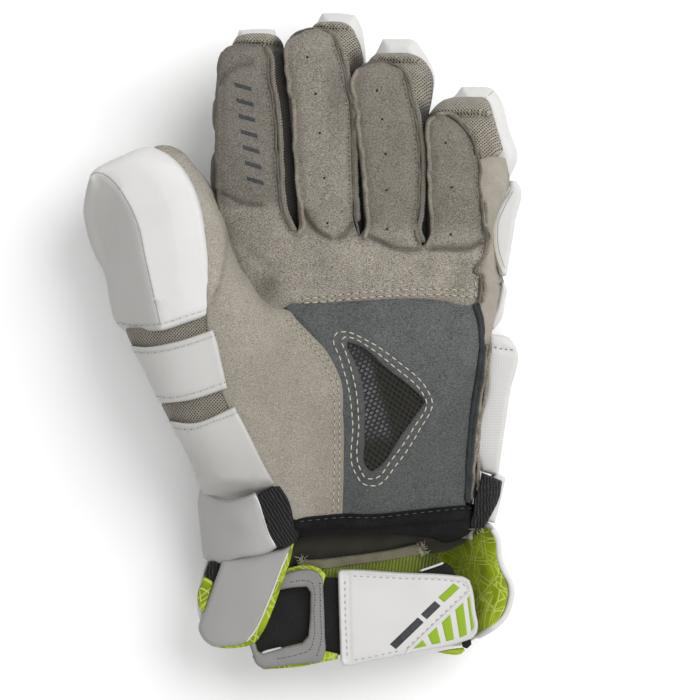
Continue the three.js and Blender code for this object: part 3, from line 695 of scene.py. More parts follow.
def coated(name, base, dirt_and_shade, rough=0.42, grain=0.25, edge_amount=0.25, dots=0.0):
    """Coated leather over foam: satin, finely grained, a little grubby and shaded along its edges, with
    painted shade in its seams and wherever a piece is painted.
    """
    made, tree, shader = material(name)
    place = millimetres(tree)
    pores = node(tree, "ShaderNodeTexVoronoi", {"Vector": place, "Scale": 1.3}).outputs["Distance"]
    fine = noise(tree, place, 2.2, 3.0)
    cloud = noise(tree, place, 0.05, 2.0, 0.5)
    edge, groove, painted = shade_parts(tree)
    # Dirt and painted shade along the edges, painted shade in the grooves, broken into patches by noise.
    dirt_and_shade_at = maths(tree, "MULTIPLY", maths(tree, "ADD", edge, groove, clamp=True), edge_amount)
    patchy = spread(tree, noise(tree, place, 0.35, 3.0), 0.35, 0.6, 0.4, 1.0)
    dirt_and_shade_at = maths(tree, "MULTIPLY", dirt_and_shade_at, patchy)
    dirt_and_shade_at = maths(tree, "ADD", dirt_and_shade_at, spread(tree, cloud, 0.45, 0.75, 0.0, 0.08), clamp=True)
    colour = blend_colour(tree, dirt_and_shade_at, base, dirt_and_shade)
    # Painted shade wherever a piece is painted.
    colour = blend_colour(tree, painted, colour, dirt_and_shade)
    roughness = spread(tree, fine, 0.3, 0.7, rough - 0.05, rough + 0.07)
    height = maths(tree, "ADD", maths(tree, "MULTIPLY", pores, 0.5), maths(tree, "MULTIPLY", fine, 0.5))
    if dots:
        where = node(tree, "ShaderNodeSeparateXYZ", {"Vector": place}).outputs
        waves = []
        for operation in ("ADD", "SUBTRACT"):
            slanted = maths(tree, operation, where[0], where[1])
            waves.append(maths(tree, "SINE", maths(tree, "MULTIPLY", slanted, math.pi / dots)))
        pricked = spread(tree, maths(tree, "MULTIPLY", *waves), 0.25, 0.7)
        colour = blend_colour(tree, maths(tree, "MULTIPLY", pricked, 0.6), colour, dirt_and_shade)
        height = maths(tree, "SUBTRACT", height, pricked)
    dress(tree, shader, colour, roughness, 0.4, 0.0, height, grain, 0.0002)
    return made


def knit(name, thread, hole, light, pitch=1.15, slant=45, strength=0.9):
    """Warp-knit spacer mesh: small holes between threads that cross on the slant."""
    made, tree, shader = material(name)
    place = millimetres(tree)
    where = node(tree, "ShaderNodeSeparateXYZ", {"Vector": place}).outputs
    u = maths(tree, "MULTIPLY_ADD", where[2], 0.3, where[0])
    v = maths(tree, "MULTIPLY_ADD", where[2], -0.3, where[1])
    c, s = math.cos(math.radians(slant)), math.sin(math.radians(slant))
    across = maths(tree, "SUBTRACT", maths(tree, "MULTIPLY", u, s), maths(tree, "MULTIPLY", v, c))
    along = maths(tree, "ADD", maths(tree, "MULTIPLY", u, c), maths(tree, "MULTIPLY", v, s))
    rib = maths(tree, "SINE", maths(tree, "MULTIPLY", across, 2 * math.pi / pitch))
    beat = maths(tree, "SINE", maths(tree, "MULTIPLY", along, 2 * math.pi / pitch))
    gapped = maths(tree, "MULTIPLY", spread(tree, rib, -0.6, 0.4), spread(tree, beat, -0.6, 0.4))
    fuzz = noise(tree, place, 1.8, 3.0)
    cloud = noise(tree, place, 0.12, 2.0)
    body = blend_colour(tree, spread(tree, fuzz, 0.3, 0.7), thread, light)
    body = blend_colour(tree, spread(tree, cloud, 0.4, 0.7, 0.0, 0.35), body, thread)
    colour = blend_colour(tree, gapped, body, hole)
    # Painted shade: where a piece is painted, the mesh darkens to the colour of its holes.
    colour = blend_colour(tree, shade_parts(tree)[2], colour, hole)
    height = maths(tree, "SUBTRACT", maths(tree, "MULTIPLY", rib, -0.5), gapped)
    dress(tree, shader, colour, 0.85, 0.2, 0.2, height, strength, 0.0004)
    return made


def webbing(name, dark, light, pitch, strength=0.9):
    """Ribbed elastic: rounded cords side by side, with a fine cross weave."""
    made, tree, shader = material(name)
    u, v = node(tree, "ShaderNodeSeparateXYZ", {"Vector": cloth_uv(tree)}).outputs[:2]
    wander = spread(tree, noise(tree, millimetres(tree), 0.25, 2.0), 0.3, 0.7, -0.35, 0.35)
    rib = maths(tree, "SINE", maths(tree, "MULTIPLY", maths(tree, "ADD", u, wander), 2 * math.pi / pitch))
    cross = maths(tree, "SINE", maths(tree, "MULTIPLY", v, 2 * math.pi / (pitch * 0.5)))
    tone = maths(tree, "ADD", spread(tree, rib, -0.2, 1, 0.0, 0.8), spread(tree, cross, -1, 1, 0.0, 0.2))
    colour = blend_colour(tree, tone, dark, light)
    height = maths(tree, "ADD", rib, maths(tree, "MULTIPLY", cross, 0.25))
    dress(tree, shader, colour, 0.7, 0.3, 0.0, height, strength, 0.0005)
    return made


def printed_lining(name, base, deep, pale):
    """Satin lining printed with pale lines between uneven cells, and wider curved bands."""
    made, tree, shader = material(name)
    place = millimetres(tree)
    drift = node(tree, "ShaderNodeTexNoise", {"Vector": place, "Scale": 0.03, "Detail": 0.0})
    bent = node(tree, "ShaderNodeVectorMath", {0: drift.outputs["Color"], 1: (26.0, 26.0, 0.0), 2: place},
                operation="MULTIPLY_ADD")
    lines = 0.0
    for scale, inner, outer in ((0.05, 0.036, 0.056), (0.031, 0.060, 0.074), (0.083, 0.07, 0.1)):
        cells = node(tree, "ShaderNodeTexVoronoi", {"Vector": bent.outputs[0], "Scale": scale},
                     feature="DISTANCE_TO_EDGE").outputs["Distance"]
        rise = spread(tree, cells, inner - 0.006, inner + 0.004)
        fall = spread(tree, cells, outer - 0.004, outer + 0.006, 1.0, 0.0)
        lines = maths(tree, "MAXIMUM", maths(tree, "MULTIPLY", rise, fall), lines)
    lines = maths(tree, "MULTIPLY", lines, 0.8)
    weave = noise(tree, place, 2.4, 2.0)
    body = blend_colour(tree, spread(tree, noise(tree, place, 0.07, 2.0), 0.4, 0.65), base, deep)
    colour = blend_colour(tree, lines, body, pale)
    colour = blend_colour(tree, shade_parts(tree)[2], colour, deep)
    dress(tree, shader, colour, 0.6, 0.25, 0.05, weave, 0.25, 0.0002)
    return made


def thread(name, light, dark):
    made, tree, shader = material(name)
    twist = noise(tree, millimetres(tree), 3.5, 2.0)
    colour = blend_colour(tree, spread(tree, twist, 0.35, 0.65), dark, light)
    dress(tree, shader, colour, 0.7, 0.5, 0.0, twist, 0.4, 0.0002)
    return made


SUEDE = suede("suede_palm", srgb(98, 91, 80), srgb(194, 187, 175), srgb(70, 67, 60), 1.45, 1.7, 0.15, 0.4)
SUEDE_LIGHT = suede("suede_thumb", srgb(124, 117, 106), srgb(208, 200, 188), srgb(112, 106, 92), 1.1,
                    1.7, 0.15, 0.35)
GUSSET_SUEDE = suede("suede_gusset", srgb(145, 138, 127), srgb(184, 176, 165), srgb(120, 113, 102), 0.4, 1.2)
SLATE = suede("slate_microfibre", srgb(54, 56, 57), srgb(129, 132, 131), srgb(60, 62, 61), 0.95, 1.3,
              0.1, 0.4)
SLATE_EDGE = suede("slate_folded_edge", srgb(36, 39, 40), srgb(74, 78, 79), srgb(30, 32, 33), 0.7, 1.2, 0.1)
LIP = suede("suede_edge", srgb(98, 92, 81), srgb(166, 158, 143), srgb(92, 87, 76), 0.9, 1.2)
LIP_DARK = suede("suede_seam", srgb(70, 66, 58), srgb(132, 125, 112), srgb(56, 52, 47), 0.9, 1.1)
WHITE = coated("white_coated_leather", srgb(219, 218, 216), srgb(160, 157, 152))
PERFORATED = coated("perforated_leather", srgb(221, 220, 218), srgb(166, 163, 158), dots=0.8)
# The wrap and the flap are the white leather painted darker, as shade.
WHITE_SHADED = coated("white_leather_painted_shade", srgb(176, 174, 172), srgb(134, 131, 127), 0.45, 0.3)
GREY = coated("grey_loop_leather", srgb(141, 139, 137), srgb(96, 93, 89), 0.5, 0.5, 0.45)
KNIT = knit("olive_spacer_mesh", srgb(146, 139, 125), srgb(50, 46, 39), srgb(196, 188, 173))
KNIT_EDGE = knit("olive_mesh_edge", srgb(132, 127, 114), srgb(50, 48, 42), srgb(176, 169, 154), 0.95)
LINER = knit("olive_inner_cloth", srgb(64, 61, 50), srgb(36, 34, 28), srgb(80, 76, 63), 0.7, 80, 0.15)
BAND_CLOTH = knit("beige_band_cloth", srgb(126, 122, 100), srgb(98, 94, 76), srgb(146, 141, 118), 0.8,
                  80, 0.2)
ELASTIC = webbing("black_elastic", srgb(9, 9, 10), srgb(62, 61, 63), 1.6)
WOVEN = webbing("black_woven_elastic", srgb(10, 10, 10), srgb(34, 33, 33), 1.2, 0.35)
BINDING = suede("black_binding", srgb(8, 8, 9), srgb(42, 40, 41), srgb(6, 6, 7), 0.9, 1.3, 0.02)
GREEN = printed_lining("green_printed_lining", srgb(156, 176, 2), srgb(122, 138, 2), srgb(200, 212, 104))
GREEN_RIB = suede("green_ribbed_knit", srgb(128, 146, 42), srgb(176, 190, 94), srgb(52, 58, 26), 0.6, 1.2)
PALE_THREAD = thread("pale_thread", srgb(222, 217, 199), srgb(172, 167, 149))
BEIGE_THREAD = thread("beige_thread", srgb(212, 204, 183), srgb(162, 155, 136))
GREY_THREAD = thread("grey_thread", srgb(150, 147, 143), srgb(104, 102, 99))
DARK_STITCH = thread("binding_thread", srgb(80, 78, 80), srgb(44, 42, 44))
TAB_THREAD = thread("tab_thread", srgb(188, 187, 186), srgb(160, 159, 158))
PAD_THREAD = thread("pad_thread", srgb(206, 204, 201), srgb(170, 167, 163))
PAD_HOLE = thread("pad_hole", srgb(104, 101, 98), srgb(74, 72, 70))
SEAM_GREY = thread("seam_shadow", srgb(176, 173, 169), srgb(146, 143, 139))
# Real holes, and painted shadow where it is laid in grooves and folds.
HOLE_AND_SHADOW = thread("dark_hole_and_shadow", srgb(18, 17, 16), srgb(8, 8, 8))
BROWN_HOLE = thread("needle_hole", srgb(66, 61, 50), srgb(42, 39, 32))
NET = thread("net_strand", srgb(26, 25, 23), srgb(10, 10, 10))
HOLLOW = suede("net_backing", srgb(66, 64, 52), srgb(100, 97, 80), srgb(196, 195, 200), 0.6, 0.9)
MOTIF = thread("green_print", srgb(150, 184, 12), srgb(138, 172, 10))
INK = suede("slate_print", srgb(62, 63, 66), srgb(96, 97, 99), srgb(50, 51, 54), 0.8, 1.1, 0.05)

# Where the surfaces lie: pixel y, left, right, then middle height and half depth in mm
HAND_LEVEL = 36.3
HAND_HALF = 18
HAND_ROWS = [
    (600, 226, 476), (533, 225, 474), (505, 225, 474), (449, 225, 479), (393, 225, 484), (337, 224, 492),
    (295, 221, 500), (253, 217, 497), (210, 215, 505), (150, 215, 510),
]
hand = Stall([(*row, HAND_LEVEL, HAND_HALF) for row in HAND_ROWS], 3.0)
thumb = Stall([
    (561, 215, 299, 38, 18), (501, 207, 299, 38, 19), (456, 190, 300, 41, 20), (416, 167, 296, 43, 21.5),
    (376, 148, 290, 44, 23), (336, 128, 279, 45, 24), (301, 117, 262, 45.8, 24), (261, 110, 238, 46.2, 24),
    (221, 104, 225, 46.7, 24), (191, 107, 212, 46.7, 22), (171, 120, 200, 46.7, 18),
    (159, 135, 191, 46.7, 11), (153, 152, 179, 46.7, 4),
])
FINGER_ROWS = {
    "index": [(256, 238, 292), (231, 231, 297), (211, 224, 298), (193, 217.5, 298), (143, 215, 294.5),
              (99, 217, 290), (66, 221, 286), (52, 228, 284.5), (44, 232.5, 283), (37, 237, 278),
              (34, 246, 270)],
    "middle": [(256, 297, 361), (229, 297, 363), (190, 295, 362.5), (148, 291, 359), (102, 287, 356),
               (80, 285, 358), (65, 286, 363.5), (47, 291, 361), (36, 302, 356.5), (29, 311, 353),
               (24.5, 314.5, 348), (22.3, 319, 342)],
    "ring": [(256, 361, 425), (232, 363, 427), (192, 361, 427.5), (152, 357, 427), (122, 354.6, 428),
             (92, 353, 433), (80, 356, 433.5), (66, 366, 428.5), (58, 371, 421), (53.5, 377, 410)],
    "pinky": [(256, 425, 496), (231, 428.8, 498), (193.5, 428, 507), (167, 427.3, 508),
              (144, 426.5, 501.8), (120.5, 425.8, 495), (109.6, 432.6, 492), (100.5, 443, 488),
              (97.4, 452.4, 483.5)],
}
FINGER_RISE = 8.0
FINGER_HALF = 16.5
FINGER_TAPER = 3.7
TIP_START = 0.85


def finger_stall(rows):
    base, tip = rows[0][0], rows[-1][0]
    table = []
    for y, left, right in rows:
        t = (base - y) / (base - tip)
        half = FINGER_HALF - FINGER_TAPER * min(t / TIP_START, 1)
        if t > TIP_START:
            half *= math.sqrt(max(0.08, 1 - ((t - TIP_START) / 0.16) ** 2))
        table.append((y, left, right, HAND_LEVEL + FINGER_RISE * smoothstep(t * 1.05), half))
    return Stall(table, 2.8)


fingers = {name: finger_stall(rows) for name, rows in FINGER_ROWS.items()}


def pixel(x, y):
    return x / PIXEL_MM + ORIGIN_PIXEL[0], ORIGIN_PIXEL[1] - y / PIXEL_MM


def dent(x, y, at, reach, depth):
    px, py = pixel(x, y)
    return depth * np.exp(-(((px - at[0]) / reach[0]) ** 2 + ((py - at[1]) / reach[1]) ** 2))


def dented(z, x, y, table):
    """Adds soft spots, each a place and a reach in pixels and a height."""
    for at, reach, height in table:
        z = z + dent(x, y, at, reach, height)
    return z


PALM_DENTS = [
    ((400, 400), (60, 70), -2.0), ((262, 286), (15, 18), -4.0), ((300, 291), (36, 10), -1.6),
    ((420, 268), (30, 10), -0.8), ((350, 262), (40, 14), 0.9),
]
# Soft dark spots, each a place, a reach in pixels and a strength: painted shade in hollows and creases, with
# a broad darker patch on the left of the palm.
FINGER_SHADE_SPOTS = [
    ((266, 290), (15, 15), 0.45), ((338, 92), (12, 34), 0.3), ((390, 243), (20, 5), 0.3),
    ((455, 245), (24, 4.5), 0.3), ((314, 226), (9, 12), 0.3), ((425, 268), (10, 12), 0.2),
    ((322, 262), (14, 20), 0.16), ((460, 275), (8, 20), 0.25), ((252, 240), (30, 40), 0.12),
    ((240, 206), (22, 3.5), 0.14),
]


def palm_height(x, y):
    """The palm: nearly flat, hollow in the middle, dipping at the crotch of the thumb."""
    return dented(hand.top(x, y), x, y, PALM_DENTS)


MOUND_END = 338


def thumb_height(x, y):
    """The thumb's skin, and the mound between thumb and palm."""
    own = thumb.top(x, y)
    palm = palm_height(x, y)
    py = pixel(x, y)[1]
    centre = thumb.at(y)[0]
    ridge = thumb.top(np.minimum(x, centre), y)
    limit = (MOUND_END - ORIGIN_PIXEL[0]) * PIXEL_MM
    share = smoothstep((limit - x) / np.maximum(limit - centre, 1)) ** 1.2
    mound = palm + (ridge - palm) * share
    mix = smoothstep((py - 285) / 40)
    return np.maximum(own * (1 - mix) + mound * mix, own)


# Fingers and palm: one sheet of suede, crowned along each finger
FRONT_EDGES = {
    "index": [(48, 226, 264), (56, 221, 266.8), (66, 219, 267), (85, 218.3, 269), (96, 217.5, 270.8),
              (118, 217, 274), (150, 216.6, 276), (193.5, 217, 278.4), (215, 217, 281), (240, 222, 290)],
    "middle": [(32, 304, 325), (38, 294, 332.5), (46.6, 287, 335.8), (67, 285.6, 342.3), (87, 288, 345.5),
               (108, 292.4, 350), (150, 293.8, 351), (193.5, 297, 352.6), (215, 299, 354), (240, 298, 357)],
    "ring": [(65, 366, 388), (70, 358, 399), (84, 351, 405.9), (100, 352.6, 409.4), (124, 356, 415),
             (146, 358.5, 417.4), (172, 361, 418.3), (192, 363, 418.5), (228, 364, 417), (250, 361, 421)],
    "pinky": [(118, 431, 448), (125.6, 426, 457.6), (140.5, 425, 469), (158, 427, 476), (193, 428, 478),
              (225, 428.5, 481.5), (250, 426, 484)],
}
PALM = [
    (246, 284), (228, 252), (222, 226), (217.5, 205), (217, 193.5), (216.6, 141), (217.5, 96), (218.5, 85),
    (219, 65), (223, 55), (229, 49), (238, 46.5), (250, 46), (262, 48), (266.5, 54), (267.5, 76), (271, 98),
    (274, 118), (276, 150), (278.4, 193), (280, 209), (284, 219), (290, 229), (296.5, 233.5), (299, 228),
    (298.5, 215), (297, 193.5), (293.6, 150), (292.4, 108), (288, 86), (285, 65), (284, 54), (287, 43),
    (296.7, 34.7), (310.8, 30), (323.8, 31), (332.5, 38), (335.8, 46.6), (342.3, 67), (345.5, 87),
    (350, 108), (351, 150), (352.6, 193), (354.5, 226), (358.5, 237), (364, 230), (363.5, 205), (361, 172),
    (355, 124), (351.5, 98), (350.5, 82), (357, 70), (369, 64), (380.7, 63), (397.9, 68), (405.9, 84),
    (409.4, 100), (415, 123), (417.4, 146), (418.5, 192), (417, 226), (422, 247), (428, 240), (428, 194),
    (427, 156), (424.5, 130), (427, 120), (434, 116.5), (446, 117.6), (457.6, 125.6), (469, 140.5),
    (476, 158), (478, 193), (481.5, 225), (484, 240), (482, 259), (475, 267), (473, 271), (480, 276),
    (478, 288), (477, 301), (473, 304.5), (440, 301), (408, 299.5), (353, 302), (300, 304.5), (291, 304.5),
    (284, 309), (276, 312), (262, 308),
]
INDEX_TUCK = [(220, 85), (226, 77), (234, 71), (252, 65.5)]
FOLDS = [[(262, 262), (276, 270), (296, 272), (318, 268)], [(238, 244), (252, 256), (262, 270)]]
BASE_CREASES = [
    [(220, 193), (230, 198), (247, 205.5), (262, 206)], [(304, 212), (310, 224), (318, 233), (330, 239.5)],
    [(338, 240), (345, 236), (351, 226)], [(369, 238), (380, 243), (391, 248.5), (404, 251), (419, 250.5)],
    [(430, 251), (440, 250), (456, 251), (470, 249.5), (480, 243)],
]


def front_span(name, py):
    """First and last row of a finger's suede, and its left and right edge at a row."""
    rows, left, right = np.array(FRONT_EDGES[name], float).T
    return rows[0], rows[-1], np.interp(py, rows, left), np.interp(py, rows, right)


def front_height(x, y):
    """The palm's height, raised into a crowned pillow along each finger."""
    px, py = pixel(x, y)
    palm = palm_height(x, y)
    total = palm.copy()
    for name, stall in fingers.items():
        first, last, left, right = front_span(name, py)
        side = np.abs(px - (left + right) / 2) / np.maximum((right - left) / 2, 1)
        near = smoothstep((1.28 - side) / 0.2)
        level, half = stall.at(y)[2:4]
        crown = level + half + 0.4 - 2.2 * np.clip(side, 0, 1.2) ** 3.0
        crown = crown - 1.6 * smoothstep((first + 14 - py) / 20)
        blend = near * smoothstep((last + 4 - py) / 30)
        total = total * (1 - blend) + crown * blend
    return total


def suede_top(x, y):
    return front_height(x, y) + 0.9 + 0.25 * ripple(x, y, 20, 5) + 0.1 * ripple(x, y, 7, 6)


def suede_pucker(x, y, away):
    py = pixel(x, y)[1]
    fingers_only = smoothstep((268 - py) / 20)
    pucker = 0.4 * np.exp(-(away / 1.8) ** 2) * ripple(x, y, 5.0, 41, 5)
    spots = np.column_stack([x, y])
    folds = -0.9 * along_line(spots, FOLDS[0], 3.0) - 0.7 * along_line(spots, FOLDS[1], 2.6)
    return fingers_only * (pucker - 0.7 * np.exp(-((away - 2.6) / 0.9) ** 2)) + folds


def finger_tone_and_shade(x, y):
    """The index is a darker hide and the fingers are painted a little darker than the palm, the outer ones
    most; painted shade darkens the crease at each finger's base and the hollows and creases listed above.
    """
    px, py = pixel(x, y)
    dark = 0.36 * smoothstep((212 - py) / 14) * smoothstep((284 - px) / 4)
    spots = np.column_stack([x, y])
    crease = np.zeros(len(x))
    for row, weight in zip(BASE_CREASES, (0.4, 1, 1, 1, 1)):
        raised_row = [(p[0], p[1] - 1.6) for p in row]
        crease = np.maximum(crease, weight * along_line(spots, raised_row, 1.5))
    dark = dented(dark + 0.5 * crease, x, y, FINGER_SHADE_SPOTS)
    fingers_only = smoothstep((250 - py) / 34)
    outer = 0.07 * smoothstep((px - 286) / 4) + 0.2 * smoothstep((px - 356) / 4)
    return np.clip(dark + (0.12 + outer) * fingers_only, 0, 1)


pillow(
    "palm_and_fingers", PALM, suede_top, raised(front_height, -0.7), SUEDE, "suede",
    1.2, 0.4, 1.0, 1.35, closed_corner=60.0, extra=suede_pucker, painted=finger_tone_and_shade,
    grooves=[(row, depth, 1.2) for row, depth in zip(BASE_CREASES, (0.5, 1.1, 1.1, 1.1, 1.1))]
    + [(INDEX_TUCK, 1.4, 0.9)],
    replaces=["palm_suede"] + [f"{name}_front" for name in fingers],
)

for order, (name, stall) in enumerate(fingers.items()):
    y_low, y_high = stall.y[0], stall.y[-1]
    y_list = y_low + (y_high - y_low) * (1 - (1 - np.linspace(0, 1, 80)) ** 1.35)
    front_row = FRONT_EDGES[name][0][0]
    front_end = (ORIGIN_PIXEL[1] - front_row) * PIXEL_MM

    def sink(y):
        past = y - front_end
        return 3.6 + 2.0 * math.exp(-((past - 0.3) / 1.3) ** 2) - 3.5 * float(smoothstep((past - 0.5) / 3.5))

    rings = stall.rings(y_list, 84, sink)
    if name == "pinky":
        off = rings[..., 0] - stall.at(rings[..., 1])[0]
        tucked = smoothstep((pixel(0, rings[..., 1])[1] - 148) / 14)
        rings[..., 0] += (np.minimum(off, 0) * 0.07 - np.maximum(off, 0) * 0.3) * tucked
    rx, ry, rz = rings[..., 0], rings[..., 1], rings[..., 2]
    gather_size = 0.45 * smoothstep((ry - front_end + 26) / 18)
    rings[..., 2] += gather_size * ripple(rx + ry * 0.6, ry * 1.6 - rx * 0.5, 6.0, 70 + order)
    px, py = pixel(rx, ry)
    # Painted shade on the mesh: darker low down between the fingers and beside the next finger's edge, less
    # on the outer sides of index and little finger.
    crest = np.max(rz, 1, keepdims=True)
    gap_shade = np.clip((crest - 2.0 - rz) / 8.0, 0, 1) * smoothstep((py - front_row + 6) / 20)
    if order < len(fingers) - 1:
        first, _, left, _ = front_span(list(fingers)[order + 1], py)
        close = smoothstep((px - left + 22) / 11) * smoothstep((py - first + 24) / 22)
        gap_shade = np.maximum(gap_shade, 0.95 * close)
    if name == "index":
        gap_shade = gap_shade * smoothstep((px - 240) / 20)
    if name == "pinky":
        gap_shade = gap_shade * smoothstep((470 - px) / 20)
    sleeve = f"{name}_sleeve"
    tube(sleeve, rings, KNIT, "mesh", [sleeve], painted_only(np.clip(gap_shade, 0, 0.95).ravel()))
LEFT_LIPS = [
    [(289, 44), (286.5, 54), (287, 66), (289, 86), (294, 108), (295.5, 150), (299, 193), (302.5, 214),
     (302, 230), (298, 235)],
    [(358, 71), (353, 80), (352.6, 88), (355, 100), (358, 124), (361.5, 150), (364, 172), (366.5, 200),
     (367, 230), (364, 240)],
    [(434, 118), (428.5, 124), (427, 134), (428.5, 156), (429.5, 194), (430.5, 238), (427, 249)],
]
RIGHT_LIPS = [
    [(220, 66), (221.5, 58), (228, 50), (238, 47), (250, 46.5), (261, 48.5), (267, 56), (268.5, 76),
     (272, 98), (275, 118), (277, 150), (279.5, 193), (281.5, 210), (286, 221), (292, 231)],
    [(290, 41), (297, 34.5), (310.8, 30.2), (323.8, 31.2), (332, 37.5), (336.5, 48), (343, 67),
     (346.5, 87), (351, 108), (352, 150), (353.5, 193), (355.5, 222), (358.5, 236)],
    [(361, 68), (370, 64), (381, 63.3), (397.9, 69), (405.5, 82), (409.5, 98), (415.5, 123), (418, 146),
     (419, 192), (417.5, 212), (414.5, 226), (416, 238), (421, 245)],
]
MESH_STRIPS = [
    [(266, 48), (271, 56), (272.5, 76), (276, 98), (279, 118), (281, 150), (283, 193), (285.5, 210),
     (290, 222), (296, 233)],
    [(334, 35), (340, 47), (346, 67), (349.5, 87), (354, 108), (355, 150), (356, 193), (358, 222)],
    [(400, 66), (408, 78), (413, 98), (419, 123), (422, 146), (422.5, 192), (421, 215), (419, 232),
     (423, 243)],
]
PINKY_SEAM = [
    (431, 117), (446, 115.5), (458.5, 123), (470, 138), (477, 155), (479.5, 172), (479, 186), (481, 205),
    (483.5, 228), (486, 241), (482.5, 257), (475.5, 268), (474, 272), (480.5, 277), (481, 284), (478.5, 303),
]
lip_height = raised(front_height, 0.6)
piping("finger_lips", LEFT_LIPS, lip_height, 1.05, 0.1, LIP, "suede", 0.45, 3, 12)
piping("finger_seams", RIGHT_LIPS, lip_height, 0.6, -0.1, LIP_DARK, "suede", 0.35, 8)
piping("finger_mesh_edges", MESH_STRIPS, lip_height, 1.5, -1.5, KNIT_EDGE, "mesh", 0.25, 14, 14)
piping("little_finger_seam", [PINKY_SEAM], lip_height, 0.8, 0.3, LIP_DARK, "suede", 0.45, 21)
piping("little_finger_edge", [[(p[0] + 3.6, p[1] - 0.6) for p in PINKY_SEAM]], lip_height, 1.05, -0.1, LIP,
       "suede", 0.5, 24)
INDEX_EDGE_ROWS = [
    [(224, 53), (219.5, 66), (219, 85), (218, 96), (217.3, 120), (217, 150), (217.3, 190)],
]
piping("index_edge", INDEX_EDGE_ROWS, lip_height, 0.8, -0.7, LIP_DARK, "suede", 0.25, 29)

# The index's far side shows as two bulges beyond its edge
for number, outline in enumerate((
    [(220, 92), (214.5, 99), (212.2, 113), (213.5, 128), (218, 137), (222, 134), (222, 96)],
    [(219, 146), (213, 154), (210.4, 171), (211.5, 187), (217, 199), (221, 196), (221, 150)],
)):
    made = pillow(f"index_side_{number + 1}", outline, 46.0, 30.0, KNIT_EDGE, "mesh",
                  2.2, 2.2, 0.9, 1.2)

PERFORATIONS = [
    (307.7, 59.5), (316, 95.8), (320, 134.5), (324.6, 179), (327.6, 223.8), (376.9, 92.5), (382, 121),
    (385.4, 155.3), (386.5, 191), (386.8, 229.7), (444.8, 144.5), (451, 188.3), (450.3, 235),
]


discs("finger_perforations", PERFORATIONS, ["palm_and_fingers"], 0.66, 0.22, HOLE_AND_SHADOW, "suede", 10)
SEAM_MARKS = [[(p[0] - 3.4, p[1]) for p in row[first:]]
              for row, first in zip(RIGHT_LIPS + [PINKY_SEAM], (7, 5, 4, 3))]
discs("finger_seam_marks", spaced(SEAM_MARKS, 2.3), ["palm_and_fingers"], 0.4, 0.14, BROWN_HOLE, "suede")

# A plain pressed pattern of slanted bars down the index finger
def mark(name, outline, ground, look, slot, rise, drop, corner):
    """A thin plain mark lying on a surface."""
    pillow(name, outline, raised(ground, rise), raised(ground, -drop), look, slot, 0.2, 0.1, 0.5, 0.9,
           closed_corner=corner)


for number in range(7):
    at_x = 235 + number * 2.0
    at_y = 84 + number * 15.5
    bar = [(at_x, at_y), (at_x + 17, at_y + 5.0), (at_x + 17.6, at_y + 9.6), (at_x + 0.6, at_y + 4.6)]
    mark(f"index_bar_{number + 1}", bar, suede_top, INK, "slate", 0.12, 0.5, 20.0)


def finger_pad(name, stall, low, high):
    """A padded block under a stretch of finger, rounded all over, with a sewn channel across it."""
    length = stall.y[-1] - stall.y[0]
    y0 = stall.y[0] + low * length
    y1 = stall.y[0] + high * length
    angle = np.linspace(math.pi * 1.02, math.pi * 1.98, 30)
    c, s = np.cos(angle), np.sin(angle)
    size = (np.abs(c) ** 4 + np.abs(s) ** 4) ** -0.25
    rings = []
    for t in np.linspace(0, 1, 26):
        y = y0 + (y1 - y0) * t
        centre, wide, level, half = stall.at(y)
        bulge = math.sqrt(max(0.0, 1 - abs(2 * t - 1) ** 5))
        channel = 1.1 * math.exp(-((t - 0.5) / 0.045) ** 2)
        depth = half * 0.92 + 4.5 + 6.0 * bulge - channel
        wide = wide * (0.9 + 0.07 * bulge)
        row = np.full(len(angle), y)
        seat = level - 1.0
        outer = np.column_stack([centre + c * size * wide, row, seat + s * size * depth])
        inner = np.column_stack([centre + c * size * wide * 0.86, row, seat + s * size * (half - 1.0)])
        rings.append(np.concatenate([outer, inner[::-1]]))
    made = tube(name, np.array(rings), WHITE, "leather", [name])


TIPS = {
    "index": [(232, 48), (234.9, 40), (239, 29), (257, 28), (274.5, 28.5), (277, 39), (279, 50), (274, 110),
              (236, 110)],
    "middle": [(300, 60), (312, 30), (316.8, 22), (322, 12), (338, 12), (354.7, 14), (359.6, 21.7),
               (364.5, 43), (365.5, 64), (352, 110), (300, 110)],
    "ring": [(360, 70), (376, 52), (383, 38), (398, 38), (413.4, 39), (424.3, 52), (435.2, 77), (432.5, 95),
             (421, 130), (362, 130)],
    "pinky": [(436, 118), (448, 100), (455, 95), (462, 86), (478, 86), (493, 88), (499, 95), (510, 130),
              (518.4, 157), (510.4, 177), (500, 178), (440, 160)],
}


def tip_bevel(x, y, away):
    return -0.9 * np.clip(5.0 - away, 0, 5)


PAD_SPANS = {"knuckle_pad": (0.06, 0.34), "mid_pad": (0.36, 0.62)}
for name, stall in fingers.items():
    for pad, (low, high) in PAD_SPANS.items():
        finger_pad(f"{name}_{pad}", stall, low, high)
    tip = f"{name}_tip_pad"

    def tip_top(x, y):
        return stall.at(y)[2] + 1.0

    def tip_bottom(x, y):
        return stall.at(y)[2] - stall.at(y)[3] - 8.5

    made = pillow(tip, TIPS[name], tip_top, tip_bottom, WHITE, "leather", 1.2, 5.0, 1.0, 2.0,
                  replaces=[tip], closed_corner=50.0, extra=tip_bevel)
TIP_SEAMS_ROWS = [[(484, 99), (489, 95), (494, 90)]]
piping("tip_seams", TIP_SEAMS_ROWS, ["pinky_tip_pad"], 0.25, -0.05, SEAM_GREY, "leather")

